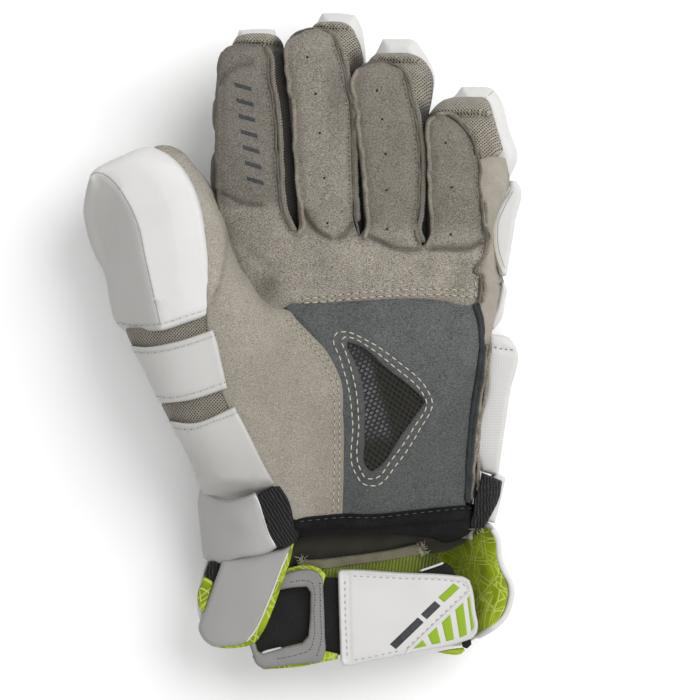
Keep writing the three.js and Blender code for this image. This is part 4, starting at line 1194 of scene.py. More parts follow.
# The slate patch and its window of net
SLATE_PATCH = [
    (286, 304), (297, 300), (353, 295), (408, 292), (473, 297), (480, 313), (482.5, 346), (477, 378),
    (471.5, 422), (467, 465), (465.5, 510), (418.5, 514), (375, 519), (334, 519), (335, 465), (335, 422),
    (331, 378), (318, 352), (301, 333), (286, 317.7),
]
WINDOW = [
    (348, 342.4), (357, 345), (386, 368), (421, 397), (425, 401.5), (421, 407), (400, 436), (377, 467.5),
    (371, 471), (366, 466), (364.6, 440), (364.3, 400), (360, 374), (352, 356), (347, 346),
]
BACKING = [(340, 334), (360, 335), (392, 362), (430, 392), (434, 402), (428, 414), (405, 447), (384, 477),
           (370, 481), (357, 472), (355, 440), (354, 402), (350, 378), (342, 358), (338, 346)]


def slate_top(x, y):
    return palm_height(x, y) + 0.1 + 0.22 * ripple(x, y, 26, 9) + 0.07 * ripple(x, y, 9, 10)


def window_edge(x, y, away):
    near = nearest(np.column_stack([x, y]), [curve(mm(WINDOW), 1.0, True)])
    return 0.5 * np.exp(-((near - 2.6) / 2.0) ** 2) - 0.35 * np.exp(-((near - 5.6) / 1.0) ** 2)


def slate_shade(x, y):
    """The patch is darker round the window and towards the wrist."""
    px, py = pixel(x, y)
    return np.clip(0.1 + 0.28 * smoothstep((py - 340) / 110) + 0.12 * smoothstep((400 - px) / 60), 0, 1)


pillow("palm_slate", SLATE_PATCH, slate_top, raised(palm_height, -1.2), SLATE, "slate", 0.8, 0.4,
       1.0, 1.5, holes=[WINDOW], replaces=["palm_slate"], extra=window_edge, painted=slate_shade)


def backing_light(x, y):
    """Light falls on the cloth behind the net along its left side."""
    px, py = pixel(x, y)
    lit = smoothstep((382 + 0.28 * (py - 385) - px) / 11) * smoothstep((446 - py) / 22)
    lit = lit * (0.75 + 0.2 * ripple(x, y, 9, 77)) * (0.5 + 0.5 * smoothstep((py - 352) / 22))
    return np.clip(lit, 0, 1)


pillow("palm_mesh_window", BACKING, raised(palm_height, -2.2), raised(palm_height, -3.2),
       HOLLOW, "net", 0.5, 0.3, 1.0, 2.0, replaces=["palm_mesh_window"], painted=backing_light)


def net_strands():
    """Zigzag threads side by side that touch at each turn, so they close into small cells."""
    outline = curve(mm(WINDOW), 1.0, True)
    middle = outline.mean(0)
    tilt = math.radians(-17)
    along = np.array([math.sin(tilt), math.cos(tilt)])
    across = np.array([math.cos(tilt), -math.sin(tilt)])
    parts = []
    cell_wide, cell_tall = 1.45, 1.95
    for column in range(-24, 25):
        steps = np.arange(-38, 38, cell_tall / 5)
        phase = steps / cell_tall * math.pi
        wave = np.clip(np.sin(phase) * 1.5, -1, 1) * (1 if column % 2 else -1)
        sideways = column * cell_wide + wave * cell_wide * 0.47
        spots = middle + along * steps[:, None] + across * sideways[:, None]
        grown = inside(spots, outline) | (distance_to(spots, outline, True) < 1.2)
        run = []
        for spot, good in zip([*spots, None], [*grown, False]):
            if good:
                run.append(spot)
                continue
            if len(run) > 3:
                xy = np.array(run)
                z = palm_height(xy[:, 0], xy[:, 1]) - 0.75
                parts.append(rope(np.column_stack([xy, z]), 0.46, 6, False))
            run = []
    new_object("palm_net", *gather(parts), NET, "net")


net_strands()

WINDOW_OUTER = [
    (334, 338), (336.5, 333.5), (343, 332), (366.5, 340.5), (397, 361), (427, 390), (431.7, 401),
    (418.5, 430.5), (397, 463), (375, 485), (364, 483.6), (354.5, 471), (352.6, 422), (349, 391), (340, 358),
]
WINDOW_INNER = [
    (341, 341), (344, 337.5), (352, 338), (367, 346), (393, 366), (422, 393), (426, 401), (413, 428),
    (391.5, 459), (374, 478), (366, 477.5), (359.5, 467), (358.6, 422), (356, 391), (348, 359),
]
stitches("window_stitches", [WINDOW_OUTER, WINDOW_INNER], ["palm_slate"], PALE_THREAD, "slate", 3.0,
         4.1, 0.34, closed=True)

# The overlay that runs from the thumb over the ball of the hand
OVERLAY = [
    (291, 312), (296, 318.5), (310, 333), (327.4, 352), (340.5, 378), (343.9, 422), (343.9, 465),
    (342.8, 514), (320, 517), (297, 520.5), (286, 511), (278, 492), (272, 484), (261, 472), (245, 439),
    (229, 406), (221, 387), (214, 352), (209, 330), (208, 302), (204, 259.5), (198, 219), (191, 196),
    (180, 174), (167, 160), (152, 152), (154, 148.5), (167, 146), (180, 150), (193, 163), (208, 182),
    (219, 200), (226.5, 222.5), (232, 248), (252, 278), (264, 298), (275, 307.5), (284, 309),
]
STRIP_SEAM = [(212, 196), (222, 212), (227, 226), (228, 240), (226, 262), (221, 284), (213, 304)]


def overlay_top(x, y):
    z = thumb_height(x, y) + 0.9 + 0.3 * ripple(x, y, 24, 15) + 0.08 * ripple(x, y, 8, 16)
    return dented(z, x, y, [((268, 420), (14, 60), -0.8), ((300, 352), (26, 22), 0.6)])


def overlay_bottom(x, y):
    py = pixel(x, y)[1]
    deep = smoothstep((318 - py) / 20)
    return (thumb_height(x, y) - 1.0) * (1 - deep) + 33.0 * deep


def strip_shade(x, y):
    """Painted shade over the overlay except the rolled strip beside the cap, which is left lit; darker low
    down towards the palm, with a soft darker and a soft lighter patch.
    """
    px, py = pixel(x, y)
    line = np.array(STRIP_SEAM, float)
    edge = np.interp(py, line[:, 1], line[:, 0])
    base = np.where((px < edge) & (py < 304), 0.0, 0.22)
    low = 0.15 * smoothstep((px - 290) / 40) * smoothstep((py - 380) / 60)
    soft_patches = dent(x, y, (270, 378), (24, 34), 0.13) - dent(x, y, (240, 322), (22, 26), 0.12)
    return np.clip(base + low + soft_patches, 0, 1)


pillow("thumb_overlay", OVERLAY, overlay_top, overlay_bottom, SUEDE_LIGHT, "suede", 1.1, 0.4, 1.0, 1.5,
       replaces=["thumb_overlay"], grooves=[(STRIP_SEAM, 0.8, 1.3)], painted=strip_shade)
OVERLAY_ROWS = [
    [(292, 319), (307, 335.5), (324, 354), (336, 378), (339.4, 422), (339.4, 465), (338, 510)],
    [(287, 321), (303, 338), (320, 357), (331, 380), (334.4, 422), (334.4, 465), (333, 510)],
]
PALM_ROWS = [
    [(303, 303), (312, 302.8), (353, 299), (372, 297.5), (408, 295.5), (440, 295), (474, 297.5)],
    [(303, 299.5), (311, 298.7), (343, 295), (372, 292), (408, 290), (440, 289.5), (474, 291)],
    [(474.5, 279), (475.5, 288), (475, 300)],
]
sewn("overlay", OVERLAY_ROWS, "thumb_overlay", BEIGE_THREAD, "suede", (1.9, 3.4, 0.3), BROWN_HOLE,
     (0.42, 0.08))
sewn("palm", PALM_ROWS, "palm_and_fingers", BEIGE_THREAD, "suede", (2.5, 3.9, 0.38), BROWN_HOLE, (0.5, 0.08))

# Thumb: cap and two pads over a mesh sleeve
CAP = [
    (152.5, 149.2), (167, 155), (182, 167), (195, 187), (204, 214), (209, 245), (212, 275),
    (213.8, 300), (214.6, 315.2), (190, 323), (165.4, 330.7), (142, 331.5), (124, 330), (115.5, 322),
    (110, 302), (104.4, 274), (95, 256), (86, 228), (84.5, 213), (88, 196), (92, 184), (94.6, 177),
    (99, 172), (110, 165.5), (124.7, 158.7),
]
CAP_EDGE = [
    (94.6, 179.5), (97.5, 176.5), (102, 175.3), (109, 177.5), (117, 183.5), (130, 201.7), (141.7, 226.7),
    (148.3, 256.7), (155, 286.7), (165.2, 331),
]


CAP_RIGHT = [
    (149, 152), (155, 167), (167, 182), (187, 195), (214, 204), (245, 209), (275, 212), (315, 214.5),
]


def cap_side(x, y):
    """How far a spot lies outside the sewn edge between the cap's face and its dished side."""
    spots = np.column_stack([x, y])
    line = curve(mm(CAP_EDGE), 1.0, False)
    beyond = np.concatenate([line, mm([(165.2, 360), (60, 360), (60, 150), (94.6, 150)])])
    away = distance_to(spots, line, False)
    return np.where(inside(spots, beyond), away, -away)


def cap_top(x, y):
    out = cap_side(x, y)
    px, py = pixel(x, y)
    right = np.interp(py, *np.transpose(CAP_RIGHT))
    face = 73.3 - 3.0 * smoothstep((px - right + 44) / 44) ** 2
    side = 24.0 * smoothstep((out - 0.6) / 28.0) ** 0.8 + 1.4 * smoothstep(out / 1.4)
    dish = dent(x, y, (110, 236), (13, 40), 3.2)
    return face - side - dish - 6.0 * smoothstep((172 - py) / 34) ** 1.5


def cap_shade(x, y):
    """Painted shade: the dished side, turned from the light, is darker than the face."""
    return 0.5 * smoothstep(cap_side(x, y) / 3.0)


CAP_HEM = [(119, 323), (140, 325.5), (164, 324.5), (188, 317), (213, 309)]
CAP_ROWS = [CAP_HEM[:3], [(166, 324), *CAP_HEM[3:]]]
PAD_SEWING = (2.0, 3.2, 0.26)
made = pillow("thumb_cap", CAP, cap_top, 18.0, WHITE, "leather", 3.2, 14.0, 1.0, 1.3, replaces=["thumb_cap"],
              painted=cap_shade, grooves=[(CAP_HEM, 0.8, 0.5)])
piping("cap_seam", [CAP_EDGE], ["thumb_cap"], 0.32, -0.12, SEAM_GREY, "leather")
sewn("cap", CAP_ROWS, "thumb_cap", PAD_THREAD, "leather", PAD_SEWING, PAD_HOLE, (0.42, 0.05))
MID_PAD = [
    (132, 345.5), (143, 347), (178, 342), (215, 330), (219, 342), (222, 356), (229, 388), (190, 400),
    (161.5, 403), (154, 389), (142, 364),
]
LOW_PAD = [
    (169.5, 420.5), (193, 422.5), (236, 406), (244, 421), (253, 439), (263, 460), (277, 486), (256, 502),
    (205, 502), (187, 453),
]


def pad_top(x, y):
    """Level with the thumb, then diving behind the wrapped strap."""
    py = pixel(x, y)[1]
    return thumb.top(x, y, 4.0) - 0.6 - 12.0 * smoothstep((py - 476) / 22)


def pad_shade(x, y):
    """Painted shade: duller than the cap, and more so lower down."""
    px, py = pixel(x, y)
    return 0.28 + 0.34 * smoothstep((py - 400) / 80) + 0.15 * smoothstep((190 - px) / 40)


MID_ROWS = [
    [(137, 352), (150, 352.5), (180, 347.5), (217, 336)],
    [(159, 396), (170, 397), (195, 393), (226, 382)],
]
LOW_ROWS = [[(173, 427), (195, 428), (215, 421), (238, 412)]]
for piece, outline, rows in (("thumb_mid_pad", MID_PAD, MID_ROWS), ("thumb_low_pad", LOW_PAD, LOW_ROWS)):
    made = pillow(piece, outline, pad_top, lambda x, y: thumb.at(y)[2] - thumb.at(y)[3] - 4.0, WHITE,
                  "leather", 1.8, 9.0, 1.0, 1.5, replaces=[piece],
                  grooves=[(row, 0.8, 0.6) for row in rows], painted=pad_shade)
    sewn(piece, rows, piece, PAD_THREAD, "leather", PAD_SEWING, PAD_HOLE, (0.42, 0.05))
y_list = np.linspace(thumb.y.min() + 30, (ORIGIN_PIXEL[1] - 306) * PIXEL_MM, 60)
rings = thumb.rings(y_list, 96)
sleeve_axis = thumb.at(rings[..., 1])
low_side = smoothstep((sleeve_axis[2] + 2 - rings[..., 2]) / 10)
row_py = pixel(0, rings[..., 1])[1]
in_pad = smoothstep((row_py - 347) / 4) * smoothstep((404 - row_py) / 4) + smoothstep((row_py - 424) / 6)
rings[..., 0] -= (0.12 * low_side + 0.05 * in_pad) * (rings[..., 0] - sleeve_axis[0])
rings[..., 2] -= 0.1 * low_side * (rings[..., 2] - sleeve_axis[2])
sleeve_px, sleeve_py = pixel(rings[..., 0], rings[..., 1])
cap_foot = np.interp(sleeve_px, [113, 124, 142, 165, 190, 214], [320, 328, 329, 328.5, 321, 313])
under = np.maximum(smoothstep((cap_foot - sleeve_py) / 3), smoothstep((sleeve_py - 470) / 14))
under = np.maximum(under, smoothstep((sleeve_px - 254) / 8)) * (rings[..., 2] > 40)
rings[..., 2] = rings[..., 2] * (1 - under) + 40 * under
# Painted shade: the thumb's mesh is painted a little darker all over.
thumb_sleeve_shade = painted_only(np.full(rings.shape[0] * rings.shape[1], 0.16))
tube("thumb_sleeve", rings, KNIT, "mesh", ["thumb_sleeve"], thumb_sleeve_shade)

# The little-finger side of the hand
GUSSET = [
    (478, 160), (493, 157), (507, 158.5), (509.5, 170), (509.5, 189), (500, 208), (493.5, 232),
    (495.5, 254), (502, 272), (505, 283), (503, 299), (497, 319), (491, 336), (486, 347), (480, 336),
    (477, 313), (474, 295), (473, 250), (474, 200),
]


def gusset_top(x, y):
    py = pixel(x, y)[1]
    low = smoothstep((py - 222) / 28)
    return fingers["pinky"].top(x, y) * (1 - low) + hand.top(x, y) * low - 1.6 + 0.35 * ripple(x, y, 13, 33)


pillow("pinky_gusset", GUSSET, gusset_top, 34.0, GUSSET_SUEDE, "leather_grey", 1.2, 0.6,
       1.0, 1.5, replaces=["pinky_gusset"])
SIDE_PADS = {
    "side_pad_upper": [(510, 180), (516, 180), (520, 184.5), (516, 222), (507.5, 275), (500.5, 275),
                       (494.5, 254), (493, 232), (499, 206), (509, 189)],
    "side_pad_short": [(503, 281), (507, 286), (505.5, 303), (503, 317), (494, 330), (492, 326),
                       (498, 305)],
    "side_pad_long": [(490.5, 333), (511.5, 339), (517.5, 349), (511, 393), (503, 448), (499, 477),
                      (482, 472), (475.5, 449), (480, 415), (486, 397), (488, 366)],
    "side_pad_low": [(497, 472.5), (506.5, 479), (503, 495), (495.5, 524), (484, 522), (486, 490)],
}
for name, outline in SIDE_PADS.items():
    look = PERFORATED if name == "side_pad_long" else WHITE
    rows = [([(487, 346), (500, 348), (517, 352)], 0.9, 0.8)] if name == "side_pad_long" else ()
    made = pillow(name, outline, lambda x, y: 38.0 - dent(x, y, (515, 340), (14, 8), 1.5), 8.0, look,
                  "leather", 2.2, 7.0, 0.9, 1.4, replaces=[name], grooves=rows, closed_corner=50.0)
SIDE_PAD_STITCHES_ROWS = [[(488.5, 345), (500, 348.5), (515, 350)]]
stitches("side_pad_stitches", SIDE_PAD_STITCHES_ROWS, ["side_pad_long"], GREY_THREAD, "leather", 1.6,
         2.6, 0.24)
SIDE_PAD_TRIM_ROWS = [[(510.5, 186), (501, 204), (495.5, 219), (494.3, 232), (496.5, 254), (503, 273)]]
piping("side_pad_trim", SIDE_PAD_TRIM_ROWS, 40.6, 0.6, 0.0, BEIGE_THREAD, "leather_grey")
SIDE_PAD_LINE_ROWS = [[(514, 190), (505, 207), (499.5, 220), (498.3, 233), (500.5, 253), (505.5, 268)]]
piping("side_pad_line", SIDE_PAD_LINE_ROWS, ["side_pad_upper"], 0.22, -0.05, SEAM_GREY, "leather")


def near_slate(x, y):
    return np.maximum(palm_height(x, y), 47.0)


SLATE_RIDGE_ROWS = [
    [(474, 304), (478, 314), (480.5, 330), (481.3, 350), (479.5, 372), (475.5, 392), (472, 416),
     (468.3, 465), (466.5, 502)],
    [(477, 303), (481.5, 318), (483, 340), (483.2, 356), (481.5, 376), (478.5, 393), (474.8, 420),
     (471, 465), (468.5, 503)],
]
piping("slate_ridge", SLATE_RIDGE_ROWS, near_slate, 0.95, 0.5, SLATE_EDGE, "slate", 0.25, 51)
# A dark cord along the groove beside the ridge, a painted shadow.
SLATE_GROOVE_ROWS = [
    [(472.5, 306), (476, 317), (478.3, 331), (478.8, 350), (476.8, 372), (473.2, 392), (469.8, 416),
     (466, 465), (464.3, 500)],
]
piping("slate_groove", SLATE_GROOVE_ROWS, near_slate, 0.5, 0.0, HOLE_AND_SHADOW, "slate", 0.1, 52)
SIDE_LIPS_ROWS = [
    [(486.5, 344), (486.3, 360), (484.5, 378), (481.5, 394), (478, 420), (475.5, 449), (473, 482),
     (471.5, 500)],
    [(490.3, 342), (489.5, 352), (487.5, 371), (484.6, 396), (481, 416), (477.5, 455), (479, 474),
     (478, 494)],
]
piping("side_lips", SIDE_LIPS_ROWS, near_slate, 0.9, -0.6, LIP, "suede", 0.4, 57)
# A dark cord sunk in the fold between the side lips, a painted shadow.
SIDE_FOLD_ROWS = [
    [(488.9, 347), (488.3, 353), (486.4, 367), (484, 383), (482, 400), (478, 440), (475.5, 470),
     (474.5, 498)],
]
piping("side_fold", SIDE_FOLD_ROWS, near_slate, 1.0, -2.0, HOLE_AND_SHADOW, "suede", 0.3, 63)

# Back of the hand: shell and padded rolls
y_list = np.linspace(-98.5, 45, 60)
tube("back_shell", hand.trough(y_list, 60, -0.4, -2.4, 0.94, 2.06), GUSSET_SUEDE, "leather_grey",
     ["back_shell"])
BACK_ROLLS = {
    "knuckle_roll_left": (234, 259, 353, 331), "knuckle_roll_right": (360, 259, 482, 331),
    "back_plate_left": (240, 337.5, 353, 457), "back_plate_right": (360, 337.5, 471, 457),
    "wrist_roll": (246, 463.5, 465, 524),
}
for name, (x0, y0, x1, y1) in BACK_ROLLS.items():
    outline = [(x0, y0), (x1, y0), (x1, y1), (x0, y1)]
    lines = 2 if "plate" in name else 1
    seams = [y0 + (y1 - y0) * (k + 1) / (lines + 1) for k in range(lines)]

    def sewn_bottom(x, y):
        py = pixel(x, y)[1]
        return sum(1.1 * np.exp(-(((py - seam) * PIXEL_MM) / 1.3) ** 2) for seam in seams)

    made = pillow(name, outline, 20.2, sewn_bottom, WHITE, "leather", 1.5, 7.0, 1.4, 2.6,
                  replaces=[name], closed_corner=50.0)

# Wrist: binding, inner cloth, elastics and the wrapped strap
BINDING_OUTLINE = [
    (294, 519), (305, 516), (320, 514.5), (342, 512.5), (375, 513), (400, 510.5), (418.5, 508.5),
    (440, 506.5), (466, 505), (475, 505.6), (477, 519), (474, 531), (464, 537.5), (444, 543),
    (430, 538), (412, 536), (398, 535), (376, 533), (343, 531.5), (320, 533.5), (302, 536), (296, 529),
]

BINDING_ROW = [(298, 520.5), (320, 518.3), (342, 516.3), (375, 516.6), (400, 514), (418, 512), (440, 509.8),
               (466, 508), (474, 508.5)]
BINDING_FOLD = [(300, 530), (342, 527), (375, 527), (418, 523), (474, 519)]


def binding_top(x, y):
    py = pixel(x, y)[1]
    base = np.maximum(palm_height(x, y), thumb_height(x, y))
    fall = 3.0 * smoothstep((py - 517) / 18) ** 2 + 7.0 * smoothstep((py - 526) / 14)
    return base + 2.0 - fall + 0.2 * ripple(x, y, 9, 91)


pillow("wrist_binding", BINDING_OUTLINE, binding_top, raised(palm_height, -9.0), BINDING, "elastic",
       1.4, 1.4, 0.9, 1.1, replaces=["wrist_binding"],
       grooves=[(BINDING_ROW, 0.8, 0.4), (BINDING_FOLD, 1.2, 0.6)])
stitches("binding_stitches", [BINDING_ROW], ["wrist_binding"], DARK_STITCH, "elastic", 2.6, 4.0, 0.26)
LINER_OUTLINE = [
    (232, 500), (300, 520), (350, 516), (420, 510), (468, 508), (474, 520), (470, 540), (452, 552),
    (420, 556), (360, 566), (318, 572), (296, 574), (270, 566), (240, 560),
]


def liner_top(x, y):
    px, py = pixel(x, y)
    slope = 36.0 - 0.16 * (py - 528) - 5.0 * smoothstep((px - 425) / 30)
    folds = 1.6 * np.sin((py - 528) / 8.0 + (px - 300) / 45.0) + 1.0 * ripple(x, y, 16, 95)
    folds = folds + 2.0 * np.exp(-((py - 540 + 0.25 * (px - 425)) / 3.0) ** 2) * smoothstep((px - 412) / 16)
    return np.clip(slope + folds, 15, 37.5)


def liner_shade(x, y):
    """Darkest right under the binding."""
    px, py = pixel(x, y)
    return np.clip(0.15 + 0.85 * smoothstep((549 - 0.06 * (px - 340) - py) / 16), 0, 1)


pillow("wrist_liner", LINER_OUTLINE, liner_top, raised(liner_top, -1.6), LINER, "liner", 0.8, 0.5,
       1.0, 1.5, replaces=["wrist_liner"], turn=8.0, painted=liner_shade)
CUFF_BAND = [
    (296, 562), (320, 561), (345, 558), (375, 554), (400, 549.5), (418, 545), (423, 551), (421, 556),
    (400, 560), (375, 564), (345, 568), (320, 571), (298, 572),
]
CUFF_RIBS = [
    (298, 569.5), (320, 569), (345, 567), (375, 562), (400, 557.5), (421, 553), (432, 556.5), (442, 562),
    (440, 580), (400, 584), (345, 588), (298, 586),
]


def rib_wave(px, py):
    return np.sin((px + (py - 570) * 0.15) * 2 * math.pi / 3.3)


def ribs_top(x, y):
    px, py = pixel(x, y)
    return 32.6 + 0.5 * rib_wave(px, py) * smoothstep((px - 292) / 10) + 0.2 * ripple(x, y, 12, 98)


# Painted shade: dark in the hollows between the ribs, and darker towards the right end by the fold.
def rib_shade(x, y):
    px, py = pixel(x, y)
    return np.clip(0.32 - 0.4 * rib_wave(px, py) + 0.5 * smoothstep((px - 405) / 30), 0, 1)


pillow("cuff_band", CUFF_BAND, uneven(33.8, 0.3, 12, 97), 30.5, BAND_CLOTH, "liner", 1.0, 0.8, 0.9, 1.2)
pillow("cuff_ribs", CUFF_RIBS, ribs_top, 29.5, GREEN_RIB, "lining", 0.9, 0.8, 0.8, 0.7, painted=rib_shade)
CUFF_EDGE_ROWS = [[(420, 572), (430, 568.8), (438, 566), (444, 563.8)]]
piping("cuff_edge", CUFF_EDGE_ROWS, 37.4, 0.6, 0.0, WHITE, "leather")


def ribbed(direction, pitch, size, wander=0.0, seed=1):
    """Cords side by side across a direction, in degrees."""
    c, s = math.cos(math.radians(direction)), math.sin(math.radians(direction))

    def lift(x, y, away):
        across = x * c + y * s
        if wander:
            across = across + wander * ripple(x, y, 12, seed, 4)
        return size * np.abs(np.sin(across * math.pi / pitch))
    return lift


ELASTIC_LEFT = [(258, 495), (263, 490.5), (269, 488), (275.5, 484.5), (280.5, 485), (288.3, 498),
                (294, 514), (300, 533), (296.7, 540), (286.7, 546), (276, 546), (271, 536), (266, 517)]
ELASTIC_RIGHT = [(482.3, 473), (492, 477), (502.7, 481.6), (499.5, 499), (492, 514), (484.5, 527.5),
                 (476, 528.5), (469.9, 526), (473, 512), (475.7, 495), (480, 484)]


def left_top(x, y):
    px, py = pixel(x, y)
    return 57.6 - 3.2 * smoothstep((py - 515) / 34) - 0.02 * np.clip(px - 285, 0, None) ** 2


def right_top(x, y):
    px, py = pixel(x, y)
    return 52.5 - 0.012 * np.clip(px - 474, 0, None) ** 2 - 0.1 * (py - 473)


pillow("elastic_left", ELASTIC_LEFT, left_top, raised(left_top, -5.0), ELASTIC, "elastic", 0.9, 0.6,
       0.7, 0.42, replaces=["elastic_left"], extra=ribbed(31, 1.6, 0.15), closed_corner=30.0, turn=-31.0)
pillow("elastic_right", ELASTIC_RIGHT, right_top, lambda x, y: np.minimum(right_top(x, y) - 5.0, 36.0),
       ELASTIC, "elastic", 0.9, 0.6, 0.7, 0.42, replaces=["elastic_right"],
       extra=ribbed(-12, 1.3, 0.45, 0.5, 7), closed_corner=24.0)
WRAP = [
    (197.7, 497), (199.5, 490.5), (203.5, 488), (208, 493), (218, 498), (228, 499.5), (243, 496.5),
    (256, 491.5), (259.5, 499), (265, 517), (271.6, 536), (278, 546), (272, 550), (241, 557),
    (209, 563.5), (202, 559), (199, 530),
]


def wrap_top(x, y):
    px, py = pixel(x, y)
    z = 58.5 - 0.0055 * np.clip(262 - px, 0, None) ** 2 - 0.06 * np.clip(py - 500, 0, None)
    z = dented(z, x, y, [((232, 531), (11, 9), -0.9), ((236, 520), (16, 9), 0.5)])
    return z + 1.2 * smoothstep((503 - py) / 8) * smoothstep((px - 196) / 10)


pillow("thumb_wrap", WRAP, wrap_top, 20.0, WHITE_SHADED, "leather", 2.6, 6.0, 0.9, 1.3,
       replaces=["thumb_wrap"], closed_corner=50.0)
WRAP_SHADOW_ROWS = [[(204.5, 490), (210, 495.5), (219, 500.2), (229, 501.4), (243, 498.6), (255, 494)]]
piping("wrap_shadow", WRAP_SHADOW_ROWS, ["thumb_wrap"], 0.4, -0.15, SEAM_GREY, "leather")

WRAP_RIM_ROWS = [[(255.5, 494), (258.5, 500), (264, 517), (270.5, 536), (275.5, 545)]]
piping("wrap_rim", WRAP_RIM_ROWS, ["thumb_wrap"], 0.5, -0.25, WHITE, "leather")

# Cuff: a padded trough with a printed lining and a rolled white rim
CUFF = [
    (206, 563), (200, 580), (196.5, 598), (198, 618), (206, 634), (228, 641), (246, 645), (257, 653),
    (268, 661), (300, 664), (345, 663), (400, 657), (440, 654), (466, 650), (478, 641), (490, 633),
    (500, 626), (507.5, 617.5), (511.5, 606), (514, 594), (511.5, 582), (505, 570), (501.5, 559),
    (499.5, 540), (494.5, 528), (484, 524.5), (476, 530), (440, 545), (380, 548), (300, 550),
    (240, 552),
]
CUFF_LINING = [
    (210, 566), (204, 580), (201, 598), (202.5, 614), (209, 630), (229, 637), (247, 641), (259, 650),
    (269, 657.5), (300, 660.5), (345, 659.5), (400, 653), (440, 651), (462, 647), (477, 638),
    (488, 630.5), (497, 622), (503.5, 613), (507, 602), (508, 594), (507, 583), (500.5, 570),
    (497.5, 558), (496.3, 541), (492, 531), (484, 528), (477, 533), (441, 548), (380, 551), (300, 553),
    (240, 555),
]


def cuff_floor(x, y):
    """The inside: a floor that climbs to the left wall and, more gently, to the right wing."""
    px, py = pixel(x, y)
    left = 32.0 * smoothstep((232 - px) / 32) ** 0.8
    wing = 34.0 * smoothstep((px - 446) / 56) ** 0.9
    roll = 1.6 * np.sin((py - 520) / 17.0 + (px - 450) / 30) * smoothstep((px - 455) / 30)
    return np.minimum(8.5 + left + wing + roll, 42.0)


def cuff_under(x, y):
    side = np.clip(np.abs(pixel(x, y)[0] - 354.0) / 166.0, 0, 1)
    under = 27.0 * (1 - (1 - side ** 4) ** 0.5)
    return np.minimum(under, cuff_floor(x, y) - 4.5)


made = pillow("cuff_pad", CUFF, raised(cuff_floor, -0.9), cuff_under, WHITE, "leather", 2.4, 3.0, 1.0,
              2.2, replaces=["cuff_pad"], closed_corner=65.0)
pillow("cuff_lining", CUFF_LINING, raised(cuff_floor, 0.9), raised(cuff_floor, -0.8),
       GREEN, "lining", 0.9, 0.5, 1.0, 1.6, replaces=["cuff_lining"], closed_corner=65.0)
CUFF_RIM_ROWS = [
    [(492.5, 528.5), (498, 540), (500, 559), (504, 570.5), (510, 582), (512, 594), (509.5, 606),
     (505.5, 616), (498.5, 624), (489, 631.5), (478, 639)],
]
piping("cuff_rim", CUFF_RIM_ROWS, cuff_floor, 1.5, -0.3, WHITE, "leather", 0.1, 81)

# The strap: elastic, loop, flap and closure tab
STRAP = [(258, 596), (300, 584), (323, 578.5), (338, 579.5), (400, 576), (424, 572.5), (447, 564),
         (453, 569), (456, 577), (462, 600), (470, 632), (472.3, 646), (467.5, 650.5), (463, 648.5),
         (462, 640), (400, 650), (352, 655), (338, 656.5), (322, 656.5), (290, 655), (252, 660)]
pillow("strap_elastic", STRAP, uneven(36.4, 0.2, 14, 101), 34.6, WOVEN, "elastic", 0.6, 0.5,
       0.9, 1.3, replaces=["strap_elastic"], closed_corner=32.0, turn=45.0)
LOOP = [
    (282, 575), (290, 572.5), (297, 570.8), (312, 570.5), (318, 573), (322.5, 579), (324, 608),
    (324.8, 636), (325, 654), (320.5, 663), (284, 666.5), (270, 668.6), (264, 669), (259.5, 667.8),
    (256, 665), (253.8, 661), (252.4, 655), (249, 644), (249, 634), (256, 614), (268, 594),
]
LOOP_OPENING = [
    (276, 591.5), (292, 588.5), (306.5, 587.5), (310.3, 593), (309.7, 620), (308, 637), (302, 644),
    (280, 649.5), (262, 655), (257, 652), (254.5, 642), (260, 626), (268, 608),
]
LOOP_LINING = [
    (288, 569), (298, 566.5), (313, 566.8), (321, 570), (326, 576), (324, 582), (323.4, 608),
    (323.8, 652), (338, 655), (338, 660.5), (322, 663.5), (306, 667), (263, 671), (258, 667),
    (252, 646), (256, 618), (272, 594),
]
pillow("strap_loop_lining", LOOP_LINING, 38.3, 36.9, GREEN, "lining", 0.7, 0.5, 0.8, 1.2,
       holes=[LOOP_OPENING], replaces=["strap_loop_lining"], closed_corner=28.0)
pillow("strap_loop", LOOP, uneven(41.4, 0.15, 14, 103), 38.6, GREY, "leather", 1.3, 0.8,
       0.8, 1.0, holes=[LOOP_OPENING], replaces=["strap_loop"], closed_corner=28.0)
LOOP_ROWS = [
    [(291, 582.5), (304, 581), (311.5, 583), (314, 589), (314, 612), (313.6, 640), (310, 650), (298, 655),
     (278, 659.5)],
    [(320, 584), (320.5, 612), (320.6, 644), (317, 656)],
]
sewn("loop", LOOP_ROWS, "strap_loop", GREY_THREAD, "leather", (1.3, 2.7, 0.24), HOLE_AND_SHADOW, (0.5, 0.08))
LOOP_KEEPER_ROWS = [[(261, 655.5), (266, 653.6), (274, 651.6), (282, 650)]]
piping("loop_keeper", LOOP_KEEPER_ROWS, 38.6, 1.15, 0.0, WHITE, "leather")
FLAP = [
    (222, 561), (250, 554), (278, 549), (291, 545), (289, 552), (282, 567), (269, 601), (251, 637),
    (247.5, 641.5), (243, 643.8), (228, 646.5), (215, 647), (206, 643.5), (200.5, 637), (198, 630),
    (199.5, 621), (204, 610),
]
FLAP_LINING = [
    (222, 563), (278, 550), (294, 542.5), (291, 558), (284.8, 576), (274, 607), (260.5, 636), (256, 642),
    (250.5, 645.5), (237, 648.5), (222, 649), (208, 645), (203, 635), (208, 610),
]


def flap_top(x, y):
    px, py = pixel(x, y)
    return 50.5 - 0.055 * (py - 545) - 0.0011 * np.clip(262 - px, 0, None) ** 2 + 0.2 * ripple(x, y, 30, 107)


pillow("cuff_flap_lining", FLAP_LINING, raised(flap_top, -2.4), raised(flap_top, -4.0),
       GREEN, "lining", 1.0, 0.5, 0.8, 1.2, replaces=["cuff_flap_lining"])
